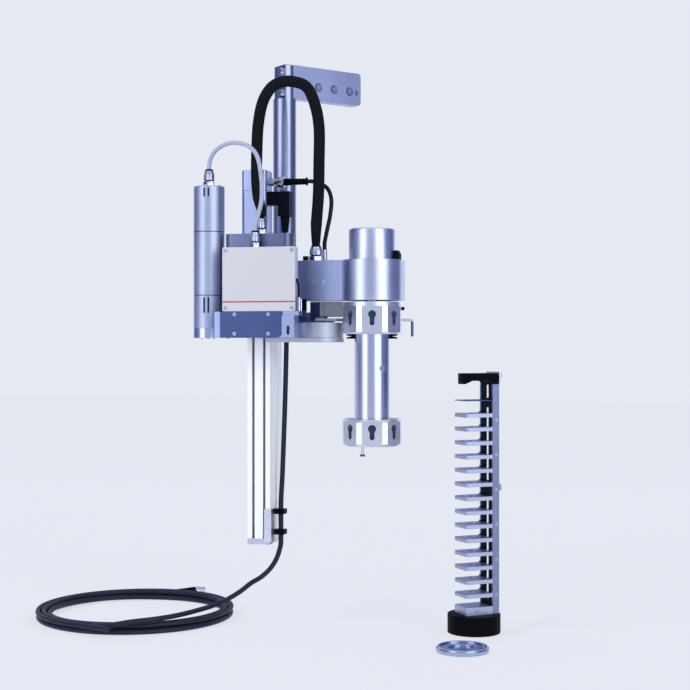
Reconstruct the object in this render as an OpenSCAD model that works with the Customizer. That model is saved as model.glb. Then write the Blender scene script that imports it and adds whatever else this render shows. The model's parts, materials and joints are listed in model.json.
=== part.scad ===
// Turret autosampler for a powder diffractometer, in millimetres, +Z up.
// The origin is on the back face of the wall plate that carries everything.
// Plan places (x to the right, y to the back) are measured from the turret's axis,
// heights from the middle of the wall plate. on_axis() moves them to the part's frame.

/* [Column and wall plate] */
// Diameter of the column
column_d = 25; // [20:0.5:32]
// How far the column stands above the middle of the wall plate
column_top = 18; // [17.5:0.5:40]
// Depth that the column reaches below the middle of the wall plate
column_down = 240; // [225:1:260]
// Height of the wall plate
plate_h = 36; // [34:0.5:40]
// Thickness of the wall plate
plate_t = 12; // [9:0.5:14]
// Distance from the column's axis to the free end of the plate
plate_reach = 93.5; // [91:0.5:140]
// Turn of the wall plate from the arm's direction, in degrees
plate_turn = 48; // [30:1:60]

/* [Lifting axis] */
// Width of the lifting axis profile
profile_w = 24.6; // [22:0.2:30]
// Depth of the profile
profile_d = 46; // [42:1:60]
// Height of the top of the profile, below the wall plate's middle
profile_top = 171; // [165:0.5:171.5]
// Length of the profile
profile_len = 317; // [314:0.5:360]
// Diameter of the lifting screw
screw_d = 10; // [6:0.5:12]
// Side of the lifting motor
lift_motor_w = 27; // [24:0.5:30]
// Height of the lifting motor with its foot
lift_motor_h = 68.3; // [62:0.1:75]

/* [Turret] */
// Number of magazine faces
faces = 7; // [6:1:8]
// Distance from the turret's axis to a face
face_at = 28.7; // [27:0.1:30]
// Width of a magazine face
face_w = 20.6; // [18:0.2:21]
// Height of the two collars
collar_h = 26.3; // [24:0.1:30]
// Diameter of the turret tube
tube_d = 36; // [30:0.5:38]
// Height between the keyholes of the two collars
keyhole_pitch = 116.2; // [112:0.2:130]
// Diameter of the round top of a keyhole
keyhole_d = 8.2; // [7:0.1:9]
// Width of the slot of a keyhole
keyhole_slot = 5; // [3.8:0.1:5.4]
// Height of a keyhole
keyhole_h = 15.5; // [14:0.5:17]
// Diameter of the turret motor
turret_motor_d = 47.6; // [40:0.2:52]
// Height of the turret motor
turret_motor_h = 32; // [25:1:45]

/* [Arm] */
// Height of the turret arm
arm_h = 41.9; // [38:0.1:42.2]
// Width of the arm, front to back
arm_w = 23; // [18:0.5:23]
// Radius of the round nose of the arm
nose_r = 30.6; // [28:0.2:31]

/* [Carriage] */
// Width of the carriage block
block_w = 71; // [66:0.5:74]
// Depth of the carriage block
block_d = 27; // [24:0.5:30]
// Width of the control box
box_w = 76.4; // [70:0.1:78]
// Height of the control box
box_h = 65.1; // [58:0.1:65.1]
// Depth of the control box without its lid
box_d = 16; // [14:0.5:24]
// Thickness of the lid
lid_t = 2; // [1.5:0.1:3]
// Height of the belt housing
belt_h = 26.6; // [25:0.2:30]
// Diameter of the swing motor
swing_motor_d = 32; // [28:0.5:33]
// Height of the swing motor
swing_motor_h = 147.2; // [140:0.2:160]

/* [Swing arm] */
// Radius of the swing drum
drum_r = 25.3; // [20:0.1:25.5]
// Height of the swing drum
drum_h = 15.5; // [12:0.5:16]
// Diameter of the drum's axle
axle_d = 10; // [8:0.5:14]
// Thickness of the pick-up blade
blade_t = 2.6; // [1.6:0.1:2.8]

/* [Magazine] */
// Number of shelves
shelves = 14; // [4:1:14]
// Height from shelf to shelf
shelf_pitch = 14.2; // [13:0.1:14.2]
// Thickness of a shelf
shelf_t = 4; // [3:0.5:5]
// Width of the magazine
mag_w = 27.4; // [26:0.2:27.6]
// Depth from the middle of the shelves to the back
mag_back = 24.3; // [21:0.1:26]
// Height of the black base
base_h = 19.6; // [14:0.2:22]

/* [Sample holder] */
// Diameter of the sample holder
holder_d = 51.5; // [48:0.5:51.5]
// Height of the sample holder
holder_h = 5.4; // [5:0.1:10]

/* [Cables] */
// Diameter of the data cable
cord_d = 5.3; // [4.6:0.1:5.4]
// Diameter of the braided hose
hose_d = 12; // [9:0.5:12.5]
// Diameter of the grey control cable
control_d = 4.5; // [3.5:0.1:5]
// Diameter of the sensor cable
sensor_d = 4.4; // [3.5:0.1:4.6]

/* [Hidden] */
$fn = 64;

over = 1;          // overrun of cuts
slip = 0.05;       // radial gap of a shaft in its bore
run = 0.3;         // gap between pieces that move past each other

// Colours, as the photograph shows them
aluminium = "#aab4dc";
plate_blue = "#7b88b4";
steel_blue = "#54649b";
black = "#1c1d26";
white = "#d9dce8";
chrome = "#dfe3f0";

// Column and wall plate
column_x = -110;
column_y = 60;
column_r = column_d / 2;
column_flat = 6;               // from the column's axis to the milled flat
column_flat_down = 18.8;
column_chamfer = 0.8;
plate_corner = 4;
mount_at = 54.5;               // from the column's axis to the middle of the mounting face
plate_screw_at = 57.5;
plate_screw_pitch = 20.9;
plate_screw_drop = 3.2;
plate_slot_at = 87.2;
plate_slot_drop = 4;
plate_slot_w = 4.6;
plate_slot_h = 1.2;             // straight part of the slot
cap_d = 8.5;                   // head of an M5 cap screw
cap_h = 5;
cap_proud = 1;
cap_ring = 0.6;                // gap round a sunk head
cap_hex = 4;
cap_hex_deep = 2.5;
driver_share = 0.17;            // width of a driver slot, of its head
shank_d = 5;
shank_short = 0.5;             // how far a plate screw stops short of the mounting face
column_screw_pitch = 23.6;
column_screw_up = -1.4;
column_screw_in = 12;          // how far a column screw bites into the plate
origin_x = column_x + mount_at * cos(plate_turn);
origin_y = column_y + mount_at * sin(plate_turn);

// Lifting axis
profile_x = -118.7;
profile_front = -10;
profile_wall = 3.3;
profile_lip = 4;               // thickness of the front wall
profile_back_wall = 10;
profile_open = 14.6;           // width of the front opening
profile_groove = 2;            // side grooves for nuts
profile_groove_w = 6;
strip_w = 9;
strip_t = 1.6;
cap_plate_h = 6;
cap_plate_screw_d = 3.4;
cap_plate_screw_h = 0.8;
cap_plate_screw_inset = 4;
screw_y = 8;
journal_up = 12;               // height of the screw's upper bearing in the motor's foot
journal_d = 6;
saddle_w = 32;
saddle_h = 40;
saddle_short = 8;              // how far the saddle stops short of the column's middle
profile_bottom = profile_top + profile_len;
profile_back = profile_front + profile_d;
cavity_front = profile_front + profile_lip;
cavity_w = profile_w - 2 * profile_wall;

// Lifting motor
lift_motor_x = -125.5;
lift_motor_front = -6;
lift_motor_corner = 4;
foot_plate_h = 3;
foot_share = 0.69;              // share of the motor's height that is foot
sensor_y = 14;
sensor_z = -113.8;
sensor_nut_d = 11;
sensor_nut_len = 14.5;
sensor_boot_len = 25;
sensor_boot_d = 8.6;
sensor_tail_d = 6.4;
boot_flange_share = 0.94;
plug_w = 23.5;
plug_y = 7;
plug_top = -125;
plug_elbow_h = 14;
plug_body_h = 26;
plug_depth = 14;
plug_leg_w = 12.5;
plug_tail_d = 10;
plug_tail_h = 16;
plug_tail_end_share = 0.7;
plug_lead_d = 4.4;

// Arm and turret
arm_top = -198.5;
arm_bottom = arm_top - arm_h;
nose_back_w = 31.3;
nose_back_d = 18;
nose_bore_up = 24;
turret_shaft_d = 16;
turret_gap = 1.6;              // under the nose
flange_h = 4.3;
flange_d = 59;
turret_face_turn = -78;
collar_chamfer = 2.1;           // height of the bevel under the collar
collar_cut = 3.15;              // width of that bevel
foot_collar_h = 27.5;
keyhole_top = 4.4;             // from the collar's top face to the keyhole's top
keyhole_wall = 3;
keyhole_deep = 10.2;
foot_cone = 3.4;
foot_cone_share = 0.93;
tube_wall = 4;
seal_d = 52.6;
seal_h = 4.8;
seal_lip = 1.5;
lock_screw_d = 5.5;
lock_screw_proud = 1.2;
lock_screw_sunk = 1.2;
lock_screw_down = 35;
lock_screw_turn = 34;
stop_pin_d = 3;
stop_pin_head = 5;
stop_pin_head_h = 2;
stop_pin_h = 10;
stop_pin_r = 20;
stop_pin_turn = -29;
index_stud_d = 3.4;
index_stud_len = 4;
index_stud_turn = 93;
index_stud_down = 2.1;         // below the collar's top
turret_top = arm_bottom - turret_gap;
collar_top = turret_top - flange_h;
collar_bottom = collar_top - collar_h - collar_chamfer;
foot_keyhole_top = 4.9;        // from the foot's top to its keyhole's top
foot_top = collar_top - keyhole_top - keyhole_pitch + foot_keyhole_top;
foot_bottom = foot_top - foot_collar_h;
face_r = norm([face_at, face_w / 2]);
face_half = atan(face_w / 2 / face_at);

// Turret motor and what stands on the arm
motor_edge = 1.2;
socket_w = 6;
socket_d = 12;
socket_h = 9.5;
socket_step = 2.5;
arm_gland_x = -59.6;
arm_gland_d = 15;
arm_gland_h = 16;
gland_nut_share = 0.3;
gland_cap_share = 0.72;
gland_gap_share = 0.06;
gland_body_share = 0.92;
gland_neck_share = 0.66;
sleeve_x = -52.5;
sleeve_y = 8.6;                // behind the gland on the arm
sleeve_d = 5.4;
sleeve_h = 12;
stud_x = -70.5;
stud_w = 5;
stud_h = 5;
top_screw_x = -48.5;
top_screw_d = 2.6;
top_screw_h = 1.2;
top_screw_pitch = 5.5;
side_screw_x = -60;
side_screw_pitch = 11.5;
side_screw_d = 3;
side_screw_h = 0.6;
side_screw_down = 22.3;

// Cable clips
clip_x = -99.6;
clip_y = 8;
clip_z = -461;
clip_pitch = 21.5;
clip_w = 12;
clip_h = 5;
clip_wall = 2.4;
clip_bracket_t = 1.6;
clip_bracket_h = 34;
clip_bracket_w = 22;
clip_bracket_top = -457;

// Carriage
block_x = -111.4;
block_top = -172;
block_bottom = -252.1;
block_corner = 8;
holder_strip_w = 9;            // upright at the block's left that holds the swing motor
holder_strip_top = -187;
holder_strip_front = -26;      // the strip lies behind the motor's axis
slider_gap = 3;                // from the profile's front to the block
slider_h = 70;
slider_w = 22;
slider_top = -175;
slider_leg = 2.2;
nut_w = 17;
nut_back = 16;
box_x = -104.9;
box_top = -187;
box_corner = 1.5;
lid_screw_inset = 3.4;
lid_screw_d = 3.6;
lid_screw_h = 0.6;
stripe_down = 54.6;
stripe_h = 1.4;
stripe_t = 0.2;
gland_x = -111.3;
front_gland_d = 11;
front_gland_h = 17;
rear_gland_d = 11;
rear_gland_h = 18;
rear_gland_y = -25;
belt_top = block_bottom;
belt_left = -152;
belt_right = -80;
belt_front = -56;
belt_back = -14;
belt_floor_h = 9.8;            // height of the lower stage that reaches round the motor
belt_pocket_h = 8;
drive_room = 1.2;              // free space round the belt and its pulley
cover_t = 2.5;
cover_side = 6.5;              // from the housing's left end to the cover
cover_corner = 8;
cover_screw_d = 4.2;
cover_screw_h = 0.8;
cover_screw_top = 2.9;
cover_screw_pitch = 19.6;
cover_screw_w = 35.4;
cover_screw_in = 15.8;
under_screws = [-172.7, -166.2, -159.7, -144.5];
under_screw_y = -34;
under_screw_d = 2.4;
under_screw_h = 1;
drive_x = -167;
drive_y = -28;
drive_r = 6;
drive_short = 0.3;             // how far the pulley stays off the pocket's floor and roof
drive_shaft_in = 10;           // how far its shaft reaches into the gearbox
drum_x = -57.5;
drum_y = 5;
bearing_t = 4.5;
bearing_front = -34;
bearing_left = -104;
bearing_back = -11;
bearing_margin = 0.6;
bearing_neck = 12;
axle_short = 2;
strain_w = 13;
strain_d = 18;
strain_h = 22.3;
strain_front = -60;
strain_slot_w = 3;
strain_slot_h = 9;
strain_slot_at = 6.6;
strain_slot_up = 7.6;
strain_top_h = 4.3;
gear_share = 0.235;             // share of the swing motor that is the lower gearbox
motor_seam_down = 47.7;        // from the motor's top to its upper groove
motor_groove = 0.5;
motor_groove_d = 0.8;
motor_slot_w = 1.8;
motor_slot_h = 9;
motor_slot_gap = 2.6;
motor_slot_at = -4.2;
motor_slot_deep = 1.2;
motor_slot_low_h = 16;
swing_gland_d = 12.4;
swing_gland_h = 18;
swing_screw_d = 3.4;
swing_screw_h = 1.2;
swing_screw_share = 0.7;
probe_x = -65.5;
probe_y = -48;
probe_d = 4.6;
probe_top = -237.5;
probe_exit = -220;
probe_cable_d = 2.6;

// Swing arm
blade_top = -258.4;
blade_clear = 34;              // radius kept free round the turret
blade_left = -56.5;
blade_shift = 2.7;
fork_at = 61;                  // from the turret's axis to the middle of a sample
fork_r = 22;
fork_turn = 76.3;
tip_x = 34;
tip_y = 45;
tip_t = 1.6;
tip_w = 8;
tip_h = 16;
gripper_top = -240.9;
gripper_h = 15.5;
gripper_left = -68;
gripper_right = -33.5;
gripper_front = 8;
gripper_d = 18;
gripper_rib = 3;
gripper_rib_pitch = 4.5;
gripper_rib_proud = 1.5;
gripper_split = -57;
base_left = -78.5;
base_right = -44;
base_front = -18;
base_back = 16;
base_split = -62;
base_block_top = -252.5;
fitting_y = -21;
fitting_d = 4.4;
fitting_top = -239;
fitting_block_left = -73;
fitting_block_right = -65;
fitting_block_d = 6;
fitting_block_top = -251;
fitting_block_bottom = -257;
fitting_left_x = -70.5;
fitting_right_x = -66.3;
blade_outline_shares = [[1, -0.15], [0.62, -0.15], [0.4, 0.7], [-0.6, 1.12], [-0.66, 1.53], [0.3, 1.7],
  [1.08, 0.82], [1.08, 0.25], [1, 0.25]];
stand_r = 9;
belt_bottom = belt_top - belt_h;
drum_bottom = belt_bottom + run;
drum_top = drum_bottom + drum_h;
motor_bottom = belt_bottom + belt_floor_h;

// Magazine
mag_x = 100.7;
mag_y = 22.3;
mag_turn = 37;
floor_z = -582;
mag_h = 268.4;
base_r = 27.3;
base_x = 2.2;                  // the base's middle, behind the middle of the shelves
block_level_h = 8.3;
shelf_zero = 27;               // height that the shelves are counted from
shelf_front = 13.8;
shelf_slot_r = 10.5;
shelf_slot_x = -2;
shelf_corner = 2.4;
side_t = 2.5;
side_d = 7.5;
back_t = 1.5;
back_inset = 5.3;              // from the side plates' rear edges to the back panel
back_slot_lip = 1;
guide_web_low = 231.4;
guide_web_h = 10;
back_slot_ends = 6;
back_web_h = 16;
back_slot_w = 6;
shelf_pocket = 1;              // depth of the pocket for the blade
comb_fillet = 2;               // slopes of the side plates above and below a shelf
guide_down = 29;
guide_t = 0.8;
handle_h = 11;
handle_front = 9;
handle_nose = 13;
handle_nose_w = 12;
handle_recess = 3.5;
handle_recess_end = 15.2;
handle_recess_slope = 2.6;
handle_lip = 12.1;
handle_lip_slope = 4.4;
handle_cap_t = 1.6;
handle_cap_d = 2;               // thickness of the plate behind the handle
handle_cap_h = 12;
hang_pin_d = 3.6;
hang_head_d = 7.4;
hang_pin_len = 6;
hang_head_h = 2.7;
hang_down = 4;
comb_screw_d = 3.6;
comb_screw_h = 0.6;
comb_screw_pitch = 36;
comb_screw_down = 49;
level_screw_x = 1;

// Sample holder
holder_x = 104;
holder_y = -69.4;
holder_rim = 2.2;
holder_step = 1.5;
holder_step_h = 1.5;
holder_well_d = 27;
holder_well_floor = 2;

// Routes of the cables: points of their middle lines, chosen by hand
hose_route = [[-59.6, 0, -178], [-59.2, 0, -160], [-57, 0, -130], [-56.3, 0, -95], [-56, -1, -60],
  [-60, -3, -36], [-68, -4, -18.5], [-80, -6, -12.5], [-93, -8, -12], [-105, -10, -18],
  [-113.5, -12.5, -33], [-117.5, -15, -55], [-118.5, -17, -80], [-118, -20, -110],
  [-115.5, -23, -132], [-111.6, -25, -146], [-111.3, -25, -152], [-111.3, -25, -153.5]];
control_route = [[-166.6, -28, -97], [-163, -29, -88.5], [-156, -31, -82.5],
  [-146, -35, -79], [-134, -39, -78.5], [-120, -43, -83], [-109.7, -46, -94], [-104.8, -48, -115],
  [-104.3, -48, -138], [-108.5, -48, -155], [-111.2, -48, -164], [-111.3, -48, -167]];
sensor_route = [[-67.5, 14, -113.8], [-59, 14, -116], [-50, 13, -122.5],
  [-46, 12, -134], [-47, 11, -150], [-50, 9.5, -166], [-52.3, 8.7, -178],
  [-52.5, 8.6, -182], [-52.5, 8.6, -185]];
cord_route = [[-276, -79, -573], [-256, -80, -571], [-236, -74, -568], [-216, -60, -567],
  [-200, -40, -566.5], [-188, -14, -566], [-178, 12, -565], [-167, 30, -561], [-154, 37, -553],
  [-141, 36, -543], [-128, 30, -535], [-115, 20, -524], [-106, 13, -512], [-101, 9, -500],
  [-99.6, 8, -490], [-99.6, 8, -452], [-98.5, 10, -420], [-97, 14, -350], [-96, 16, -290],
  [-95.5, 14, -272], [-93.5, 7, -256], [-93, 4, -248]];
probe_route = [[-67.2, -48, -220.5], [-65.7, -48, -226], [-65.5, -48, -232]];

cord_exit = [-93, 4];
route_steps = 3;

// Coil of the data cable: two layers of loops, piled in and out again
coil_x = -269;
coil_y = 29;
coil_r = 107;
coil_pitch = 6.3;
coil_layer = 6;
coil_start = 118;              // angle where the lower end leaves, in degrees
coil_turns = 4.38;
coil_steps = 24;               // rings in a loop
coil_sides = 6;
coil_tail = 60;                // straight end that runs to the plug
tail_shares = [0.88, 0.6, 0.3];
plug_r = 5;
boot_len = 21;
boot_tip_r = 3.2;
metal_len = 11.5;
metal_nut_len = 4.5;
metal_share = 0.86;
metal_bore_share = 0.7;

// Moves a piece from the turret's axis to the part's frame
module on_axis() { translate([-origin_x, -origin_y, 0]) children(); }

// Moves to the frame of the wall plate: x along the plate, y to its back
module on_plate() { on_axis() translate([column_x, column_y, 0]) rotate([0, 0, plate_turn]) children(); }

// Moves to the frame of the magazine: x to its back, z from the floor
module on_magazine() {
  on_axis() translate([mag_x, mag_y, floor_z]) rotate([0, 0, mag_turn]) children();
}

// Box between two corners
module span(a, b) { translate(a) cube(b - a); }

// Upright prism with round corners, between two corners
module round_span(a, b, r) {
  size = b - a;
  translate([0, 0, a[2]]) linear_extrude(size[2]) {
    translate([a[0] + r, a[1]]) square([size[0] - 2 * r, size[1]]);
    translate([a[0], a[1] + r]) square([size[0], size[1] - 2 * r]);
    for (x = [a[0] + r, b[0] - r], y = [a[1] + r, b[1] - r]) translate([x, y]) circle(r);
  }
}

// Upright cylinder between two heights
module rod(r, low, high) { translate([0, 0, low]) cylinder(r = r, h = high - low); }

// Cap screw along +x: its head's back face lies at x = 0
module cap_screw(d, h, shank, len, hex, deep) {
  rotate([0, 90, 0]) {
    difference() {
      rod(d / 2, -h, 0);
      translate([0, 0, -h - over]) cylinder(d = hex, h = deep + over, $fn = 6);
    }
    rod(shank / 2, 0, len);
  }
}

// Low round head with a driver slot, facing -y
module pan_head(d, h) {
  rotate([90, 0, 0]) difference() {
    rod(d / 2, 0, h);
    translate([-d / 2, -d * driver_share / 2, h / 2]) cube([d, d * driver_share, h]);
  }
}

// Cable gland: hexagon nut, body and a crown round the cable
module gland(d, h) {
  cylinder(d = d, h = h * gland_nut_share, $fn = 6);
  rod(d * gland_neck_share / 2, 0, h * gland_cap_share);
  rod(d * gland_body_share / 2, h * (gland_nut_share + gland_gap_share), h * gland_cap_share);
  translate([0, 0, h * gland_cap_share])
    cylinder(d1 = d * gland_body_share, d2 = d * gland_neck_share, h = h * (1 - gland_cap_share));
}

// Smooth route through given points
function bend(p0, p1, p2, p3, t) =
  0.5 * (2 * p1 + (p2 - p0) * t + (2 * p0 - 5 * p1 + 4 * p2 - p3) * t * t
  + (3 * p1 - p0 - 3 * p2 + p3) * t * t * t);
function smooth(points, steps) = let (last = len(points) - 1) [
  for (i = [0:last - 1], s = [0:steps - 1])
    bend(points[max(i - 1, 0)], points[i], points[i + 1], points[min(i + 2, last)], s / steps),
  points[last]];
function unit(v) = v / norm(v);
function heading(p, i) = unit(p[min(i + 1, len(p) - 1)] - p[max(i - 1, 0)]);

// Tube along a route, with its rings square to the route; side is never along the route
module tube(points, radii, sides, side) {
  count = len(points);
  rings = [for (i = [0:count - 1]) let (t = heading(points, i), u = unit(cross(side, t)), v = cross(t, u))
    for (k = [0:sides - 1]) points[i] + radii[i] * (u * cos(360 * k / sides) + v * sin(360 * k / sides))];
  walls = [for (i = [0:count - 2], k = [0:sides - 1])
    let (a = i * sides + k, b = i * sides + (k + 1) % sides) each [[a, b, a + sides], [b, b + sides,
        a + sides]]];
  ends = [[for (k = [sides - 1:-1:0]) k], [for (k = [0:sides - 1]) (count - 1) * sides + k]];
  polyhedron(rings, concat([for (f = walls) [f[0], f[2], f[1]]],
      [for (e = ends) [for (i = [len(e) - 1:-1:0]) e[i]]]));
}
function same(value, points) = [for (p = points) value];

// Middle line of the coil, from its lower end at the plug to its upper end
coil_half = coil_turns / 2;
function coil_point(t) = let (
    angle = coil_start + 360 * t,
    r = coil_r - coil_pitch * (coil_half - abs(t - coil_half)),
    climb = min(1, max(0, (t - coil_half) * 2 + 0.5)))
  [coil_x + r * cos(angle), coil_y + r * sin(angle), floor_z + cord_d / 2 + coil_layer * climb];
coil_loops = [for (i = [0:round(coil_turns * coil_steps)]) coil_point(min(i / coil_steps, coil_turns))];
coil_way = [sin(coil_start), -cos(coil_start), 0];
function coil_tail_point(share, lift) = coil_loops[0] + coil_way * coil_tail * share + [0, 0, lift];
coil_lift = plug_r - cord_d / 2;
coil_path = concat([coil_tail_point(1, coil_lift), coil_tail_point(tail_shares[0], coil_lift),
  coil_tail_point(tail_shares[1], coil_lift * tail_shares[1]), coil_tail_point(tail_shares[2], 0)],
      coil_loops);
coil_end = coil_loops[len(coil_loops) - 1];
coil_out = unit(coil_end - coil_loops[len(coil_loops) - 2]);
coil_gap = min([for (i = [0:len(coil_path) - 1], j = [i + coil_steps / 2:len(coil_path) - 1])
  norm(coil_path[i] - coil_path[j])]) - cord_d;
echo(least_gap_of_the_coil_to_itself = coil_gap);
echo(turret_axis = [-origin_x, -origin_y]);

// Places worked out from the pieces above
plug_start = coil_tail_point(1, coil_lift);
lift_motor_top = -profile_top + lift_motor_h;
lift_motor_seam = -profile_top + lift_motor_h * foot_share;
lift_motor_left = lift_motor_x - lift_motor_w / 2;
lift_motor_right = lift_motor_x + lift_motor_w / 2;
lift_motor_back = lift_motor_front + lift_motor_w;
profile_left = profile_x - profile_w / 2;
profile_right = profile_x + profile_w / 2;
block_left = block_x - block_w / 2;
block_right = block_x + block_w / 2;
block_back = profile_front - slider_gap;
block_front = block_back - block_d;
box_left = box_x - box_w / 2;
box_right = box_x + box_w / 2;
box_bottom = box_top - box_h;
lid_front = block_front - box_d - lid_t;
cover_front = belt_front - cover_t;
cover_left = belt_left + cover_side;
swing_top = motor_bottom + swing_motor_h;
gear_top = motor_bottom + swing_motor_h * gear_share;

module mount_plate() {
  color(plate_blue) on_plate() difference() {
    rotate([90, 0, 0]) linear_extrude(plate_t) {
      translate([0, -plate_h / 2]) square([plate_reach - plate_corner, plate_h]);
      translate([0, plate_corner - plate_h / 2]) square([plate_reach, plate_h - 2 * plate_corner]);
      for (side = [-1, 1]) translate([plate_reach - plate_corner, side * (plate_h / 2 - plate_corner)])
        circle(plate_corner);
    }
    rod(column_r + slip, -plate_h, plate_h);
    for (i = [-1:1]) translate([plate_screw_at + i * plate_screw_pitch, -shank_short, -plate_screw_drop])
      rotate([90, 0, 0]) {
        rod(shank_d / 2 + slip, 0, plate_t + over);
        rod(cap_d / 2 + cap_ring, plate_t - cap_h + cap_proud - shank_short, plate_t + over);
      }
    translate([plate_slot_at, over, -plate_slot_drop - plate_slot_h / 2]) rotate([90, 0,
        0]) linear_extrude(plate_t + 2 * over) {
      translate([-plate_slot_w / 2, 0]) square([plate_slot_w, plate_slot_h]);
      for (z = [0, plate_slot_h]) translate([0, z]) circle(d = plate_slot_w);
    }
    for (side = [-1, 1]) translate([0, -plate_t / 2, column_screw_up + side * column_screw_pitch / 2])
      rotate([0, 90, 0]) rod(shank_d / 2 + slip, 0, column_r + column_screw_in + over);
  }
}

module frame_screws() {
  color(chrome) on_plate() {
    for (i = [-1:1])
      translate([plate_screw_at + i * plate_screw_pitch, cap_h - cap_proud - plate_t, -plate_screw_drop])
        rotate([0, 0, 90])
          cap_screw(cap_d, cap_h, shank_d, plate_t - cap_h + cap_proud - shank_short, cap_hex,
              cap_hex_deep);
    for (side = [-1, 1])
      translate([-column_flat, -plate_t / 2, column_screw_up + side * column_screw_pitch / 2])
        cap_screw(cap_d, cap_h, shank_d, column_flat + column_r + column_screw_in, cap_hex, cap_hex_deep);
  }
}

module column() {
  color(steel_blue) on_plate() difference() {
    rotate_extrude() polygon([[0, -column_down], [column_r, -column_down], [column_r,
        column_top - column_chamfer],
      [column_r - column_chamfer, column_top], [0, column_top]]);
    span([-column_d, -column_d, -column_flat_down], [-column_flat, column_d, column_top + over]);
    for (side = [-1, 1])
      translate([-column_d, -plate_t / 2, column_screw_up + side * column_screw_pitch / 2])
        rotate([0, 90, 0]) rod(shank_d / 2 + slip, 0, 2 * column_d);
  }
}

module column_saddle() {
  color(plate_blue) on_axis() difference() {
    span([column_x + column_r - saddle_w, profile_back, -column_down],
      [column_x + column_r, column_y - saddle_short, -column_down + saddle_h]);
    translate([column_x, column_y, 0]) rod(column_r + slip, -column_down - over, over);
  }
}

module axis_profile() {
  color(aluminium) on_axis() translate([profile_x, profile_front,
      -profile_bottom]) linear_extrude(profile_len) {
    difference() {
      translate([-profile_w / 2, 0]) square([profile_w, profile_d]);
      translate([-cavity_w / 2, profile_lip]) square([cavity_w,
          profile_d - profile_lip - profile_back_wall]);
      translate([-profile_open / 2, -over]) square([profile_open, profile_lip + 2 * over]);
      for (side = [-1, 1]) translate([side * profile_w / 2, profile_d / 2])
        square([2 * profile_groove, profile_groove_w], center = true);
    }
    translate([-strip_w / 2, 0]) square([strip_w, strip_t]);
  }
}

module end_cap() {
  color(aluminium) on_axis() {
    difference() {
      span([profile_left, profile_front, -profile_bottom - cap_plate_h],
        [profile_right, profile_back, -profile_bottom]);
      translate([profile_x, screw_y, 0])
        rod(journal_d / 2 + slip, -profile_bottom - cap_plate_h - over, -profile_bottom + over);
    }
    for (x = [profile_left + cap_plate_screw_inset, profile_right - cap_plate_screw_inset],
         y = [profile_front + cap_plate_screw_inset, profile_back - cap_plate_screw_inset])
      translate([x, y, 0]) rod(cap_plate_screw_d / 2, -profile_bottom - cap_plate_h - cap_plate_screw_h,
        -profile_bottom - cap_plate_h);
  }
}

module lift_motor() {
  color(aluminium) on_axis() round_span([lift_motor_left, lift_motor_front, lift_motor_seam],
    [lift_motor_right, lift_motor_back, lift_motor_top], lift_motor_corner);
}

module motor_foot() {
  color(aluminium) on_axis() difference() {
    union() {
      round_span([lift_motor_left, lift_motor_front, -profile_top],
        [lift_motor_right, lift_motor_back, lift_motor_seam], lift_motor_corner);
      span([lift_motor_left + lift_motor_corner, lift_motor_front + lift_motor_corner, -profile_top],
        [profile_right, profile_back, -profile_top + foot_plate_h]);
    }
    translate([profile_x, screw_y, -profile_top - over])
      cylinder(d = journal_d + 2 * slip, h = journal_up + over);
  }
}

module sensor_plug() {
  on_axis() translate([lift_motor_right, sensor_y, sensor_z]) rotate([0, 90, 0]) {
    color(chrome) {
      cylinder(d = sensor_tail_d, h = sensor_nut_len);
      rod(sensor_nut_d / 2, sensor_nut_len / 2, sensor_nut_len);
      rod(sensor_boot_d / 2, 0, sensor_nut_len / 4);
    }
    color(black) translate([0, 0, sensor_nut_len]) {
      cylinder(d1 = sensor_boot_d, d2 = sensor_tail_d, h = sensor_boot_len);
      rod(sensor_boot_d / 2, sensor_boot_len * boot_flange_share, sensor_boot_len);
    }
  }
}

module sensor_cable() {
  route = smooth(concat([[lift_motor_right + sensor_nut_len + sensor_boot_len, sensor_y, sensor_z]],
      sensor_route,
    [[sleeve_x, sleeve_y, arm_top + sleeve_h]]), route_steps);
  color(black) on_axis() tube(route, same(sensor_d / 2, route), 8, [0, 1, 0]);
}

module motor_plug() {
  leg = lift_motor_right + plug_w - plug_leg_w;
  color(black) on_axis() {
    difference() {
      span([lift_motor_right, plug_y - plug_depth / 2, plug_top - plug_body_h],
        [lift_motor_right + plug_w, plug_y + plug_depth / 2, plug_top]);
      span([lift_motor_right - over, plug_y - plug_depth, plug_top - plug_body_h - over],
        [leg, plug_y + plug_depth, plug_top - plug_elbow_h]);
    }
    translate([leg + plug_leg_w / 2, plug_y, plug_top - plug_body_h - plug_tail_h])
      cylinder(d1 = plug_tail_d * plug_tail_end_share, d2 = plug_tail_d, h = plug_tail_h);
    translate([leg + plug_leg_w / 2, plug_y, 0])
      rod(plug_lead_d / 2, arm_top, plug_top - plug_body_h - plug_tail_h);
  }
}

module arm_beam() {
  color(plate_blue) on_axis() difference() {
    span([profile_right, -arm_w / 2, arm_bottom], [0, arm_w / 2, arm_top]);
    rod(nose_r + slip, arm_bottom - over, arm_top + over);
  }
}

module nose_housing() {
  color(plate_blue) on_axis() difference() {
    union() {
      rod(nose_r, arm_bottom, arm_top);
      span([0, 0, arm_bottom], [nose_back_w, nose_back_d, arm_top]);
    }
    rod(turret_shaft_d / 2 + slip, arm_bottom - over, arm_bottom + nose_bore_up);
  }
}

module turret_motor() {
  r = turret_motor_d / 2;
  color(aluminium) on_axis() translate([0, 0, arm_top]) rotate_extrude() polygon([[0, 0], [r, 0],
    [r, turret_motor_h - motor_edge], [r - motor_edge, turret_motor_h], [0, turret_motor_h]]);
}

module motor_socket() {
  left = turret_motor_d / 2;
  color(black) on_axis() {
    span([left, -socket_d / 2, arm_top], [left + socket_w, socket_d / 2, arm_top + socket_h - socket_step]);
    span([left, -socket_d / 2, arm_top], [left + socket_w - socket_step / 2, socket_d / 2,
        arm_top + socket_h]);
  }
}

module arm_gland() {
  color(chrome) on_axis() translate([arm_gland_x, 0, arm_top]) gland(arm_gland_d, arm_gland_h);
}

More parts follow.
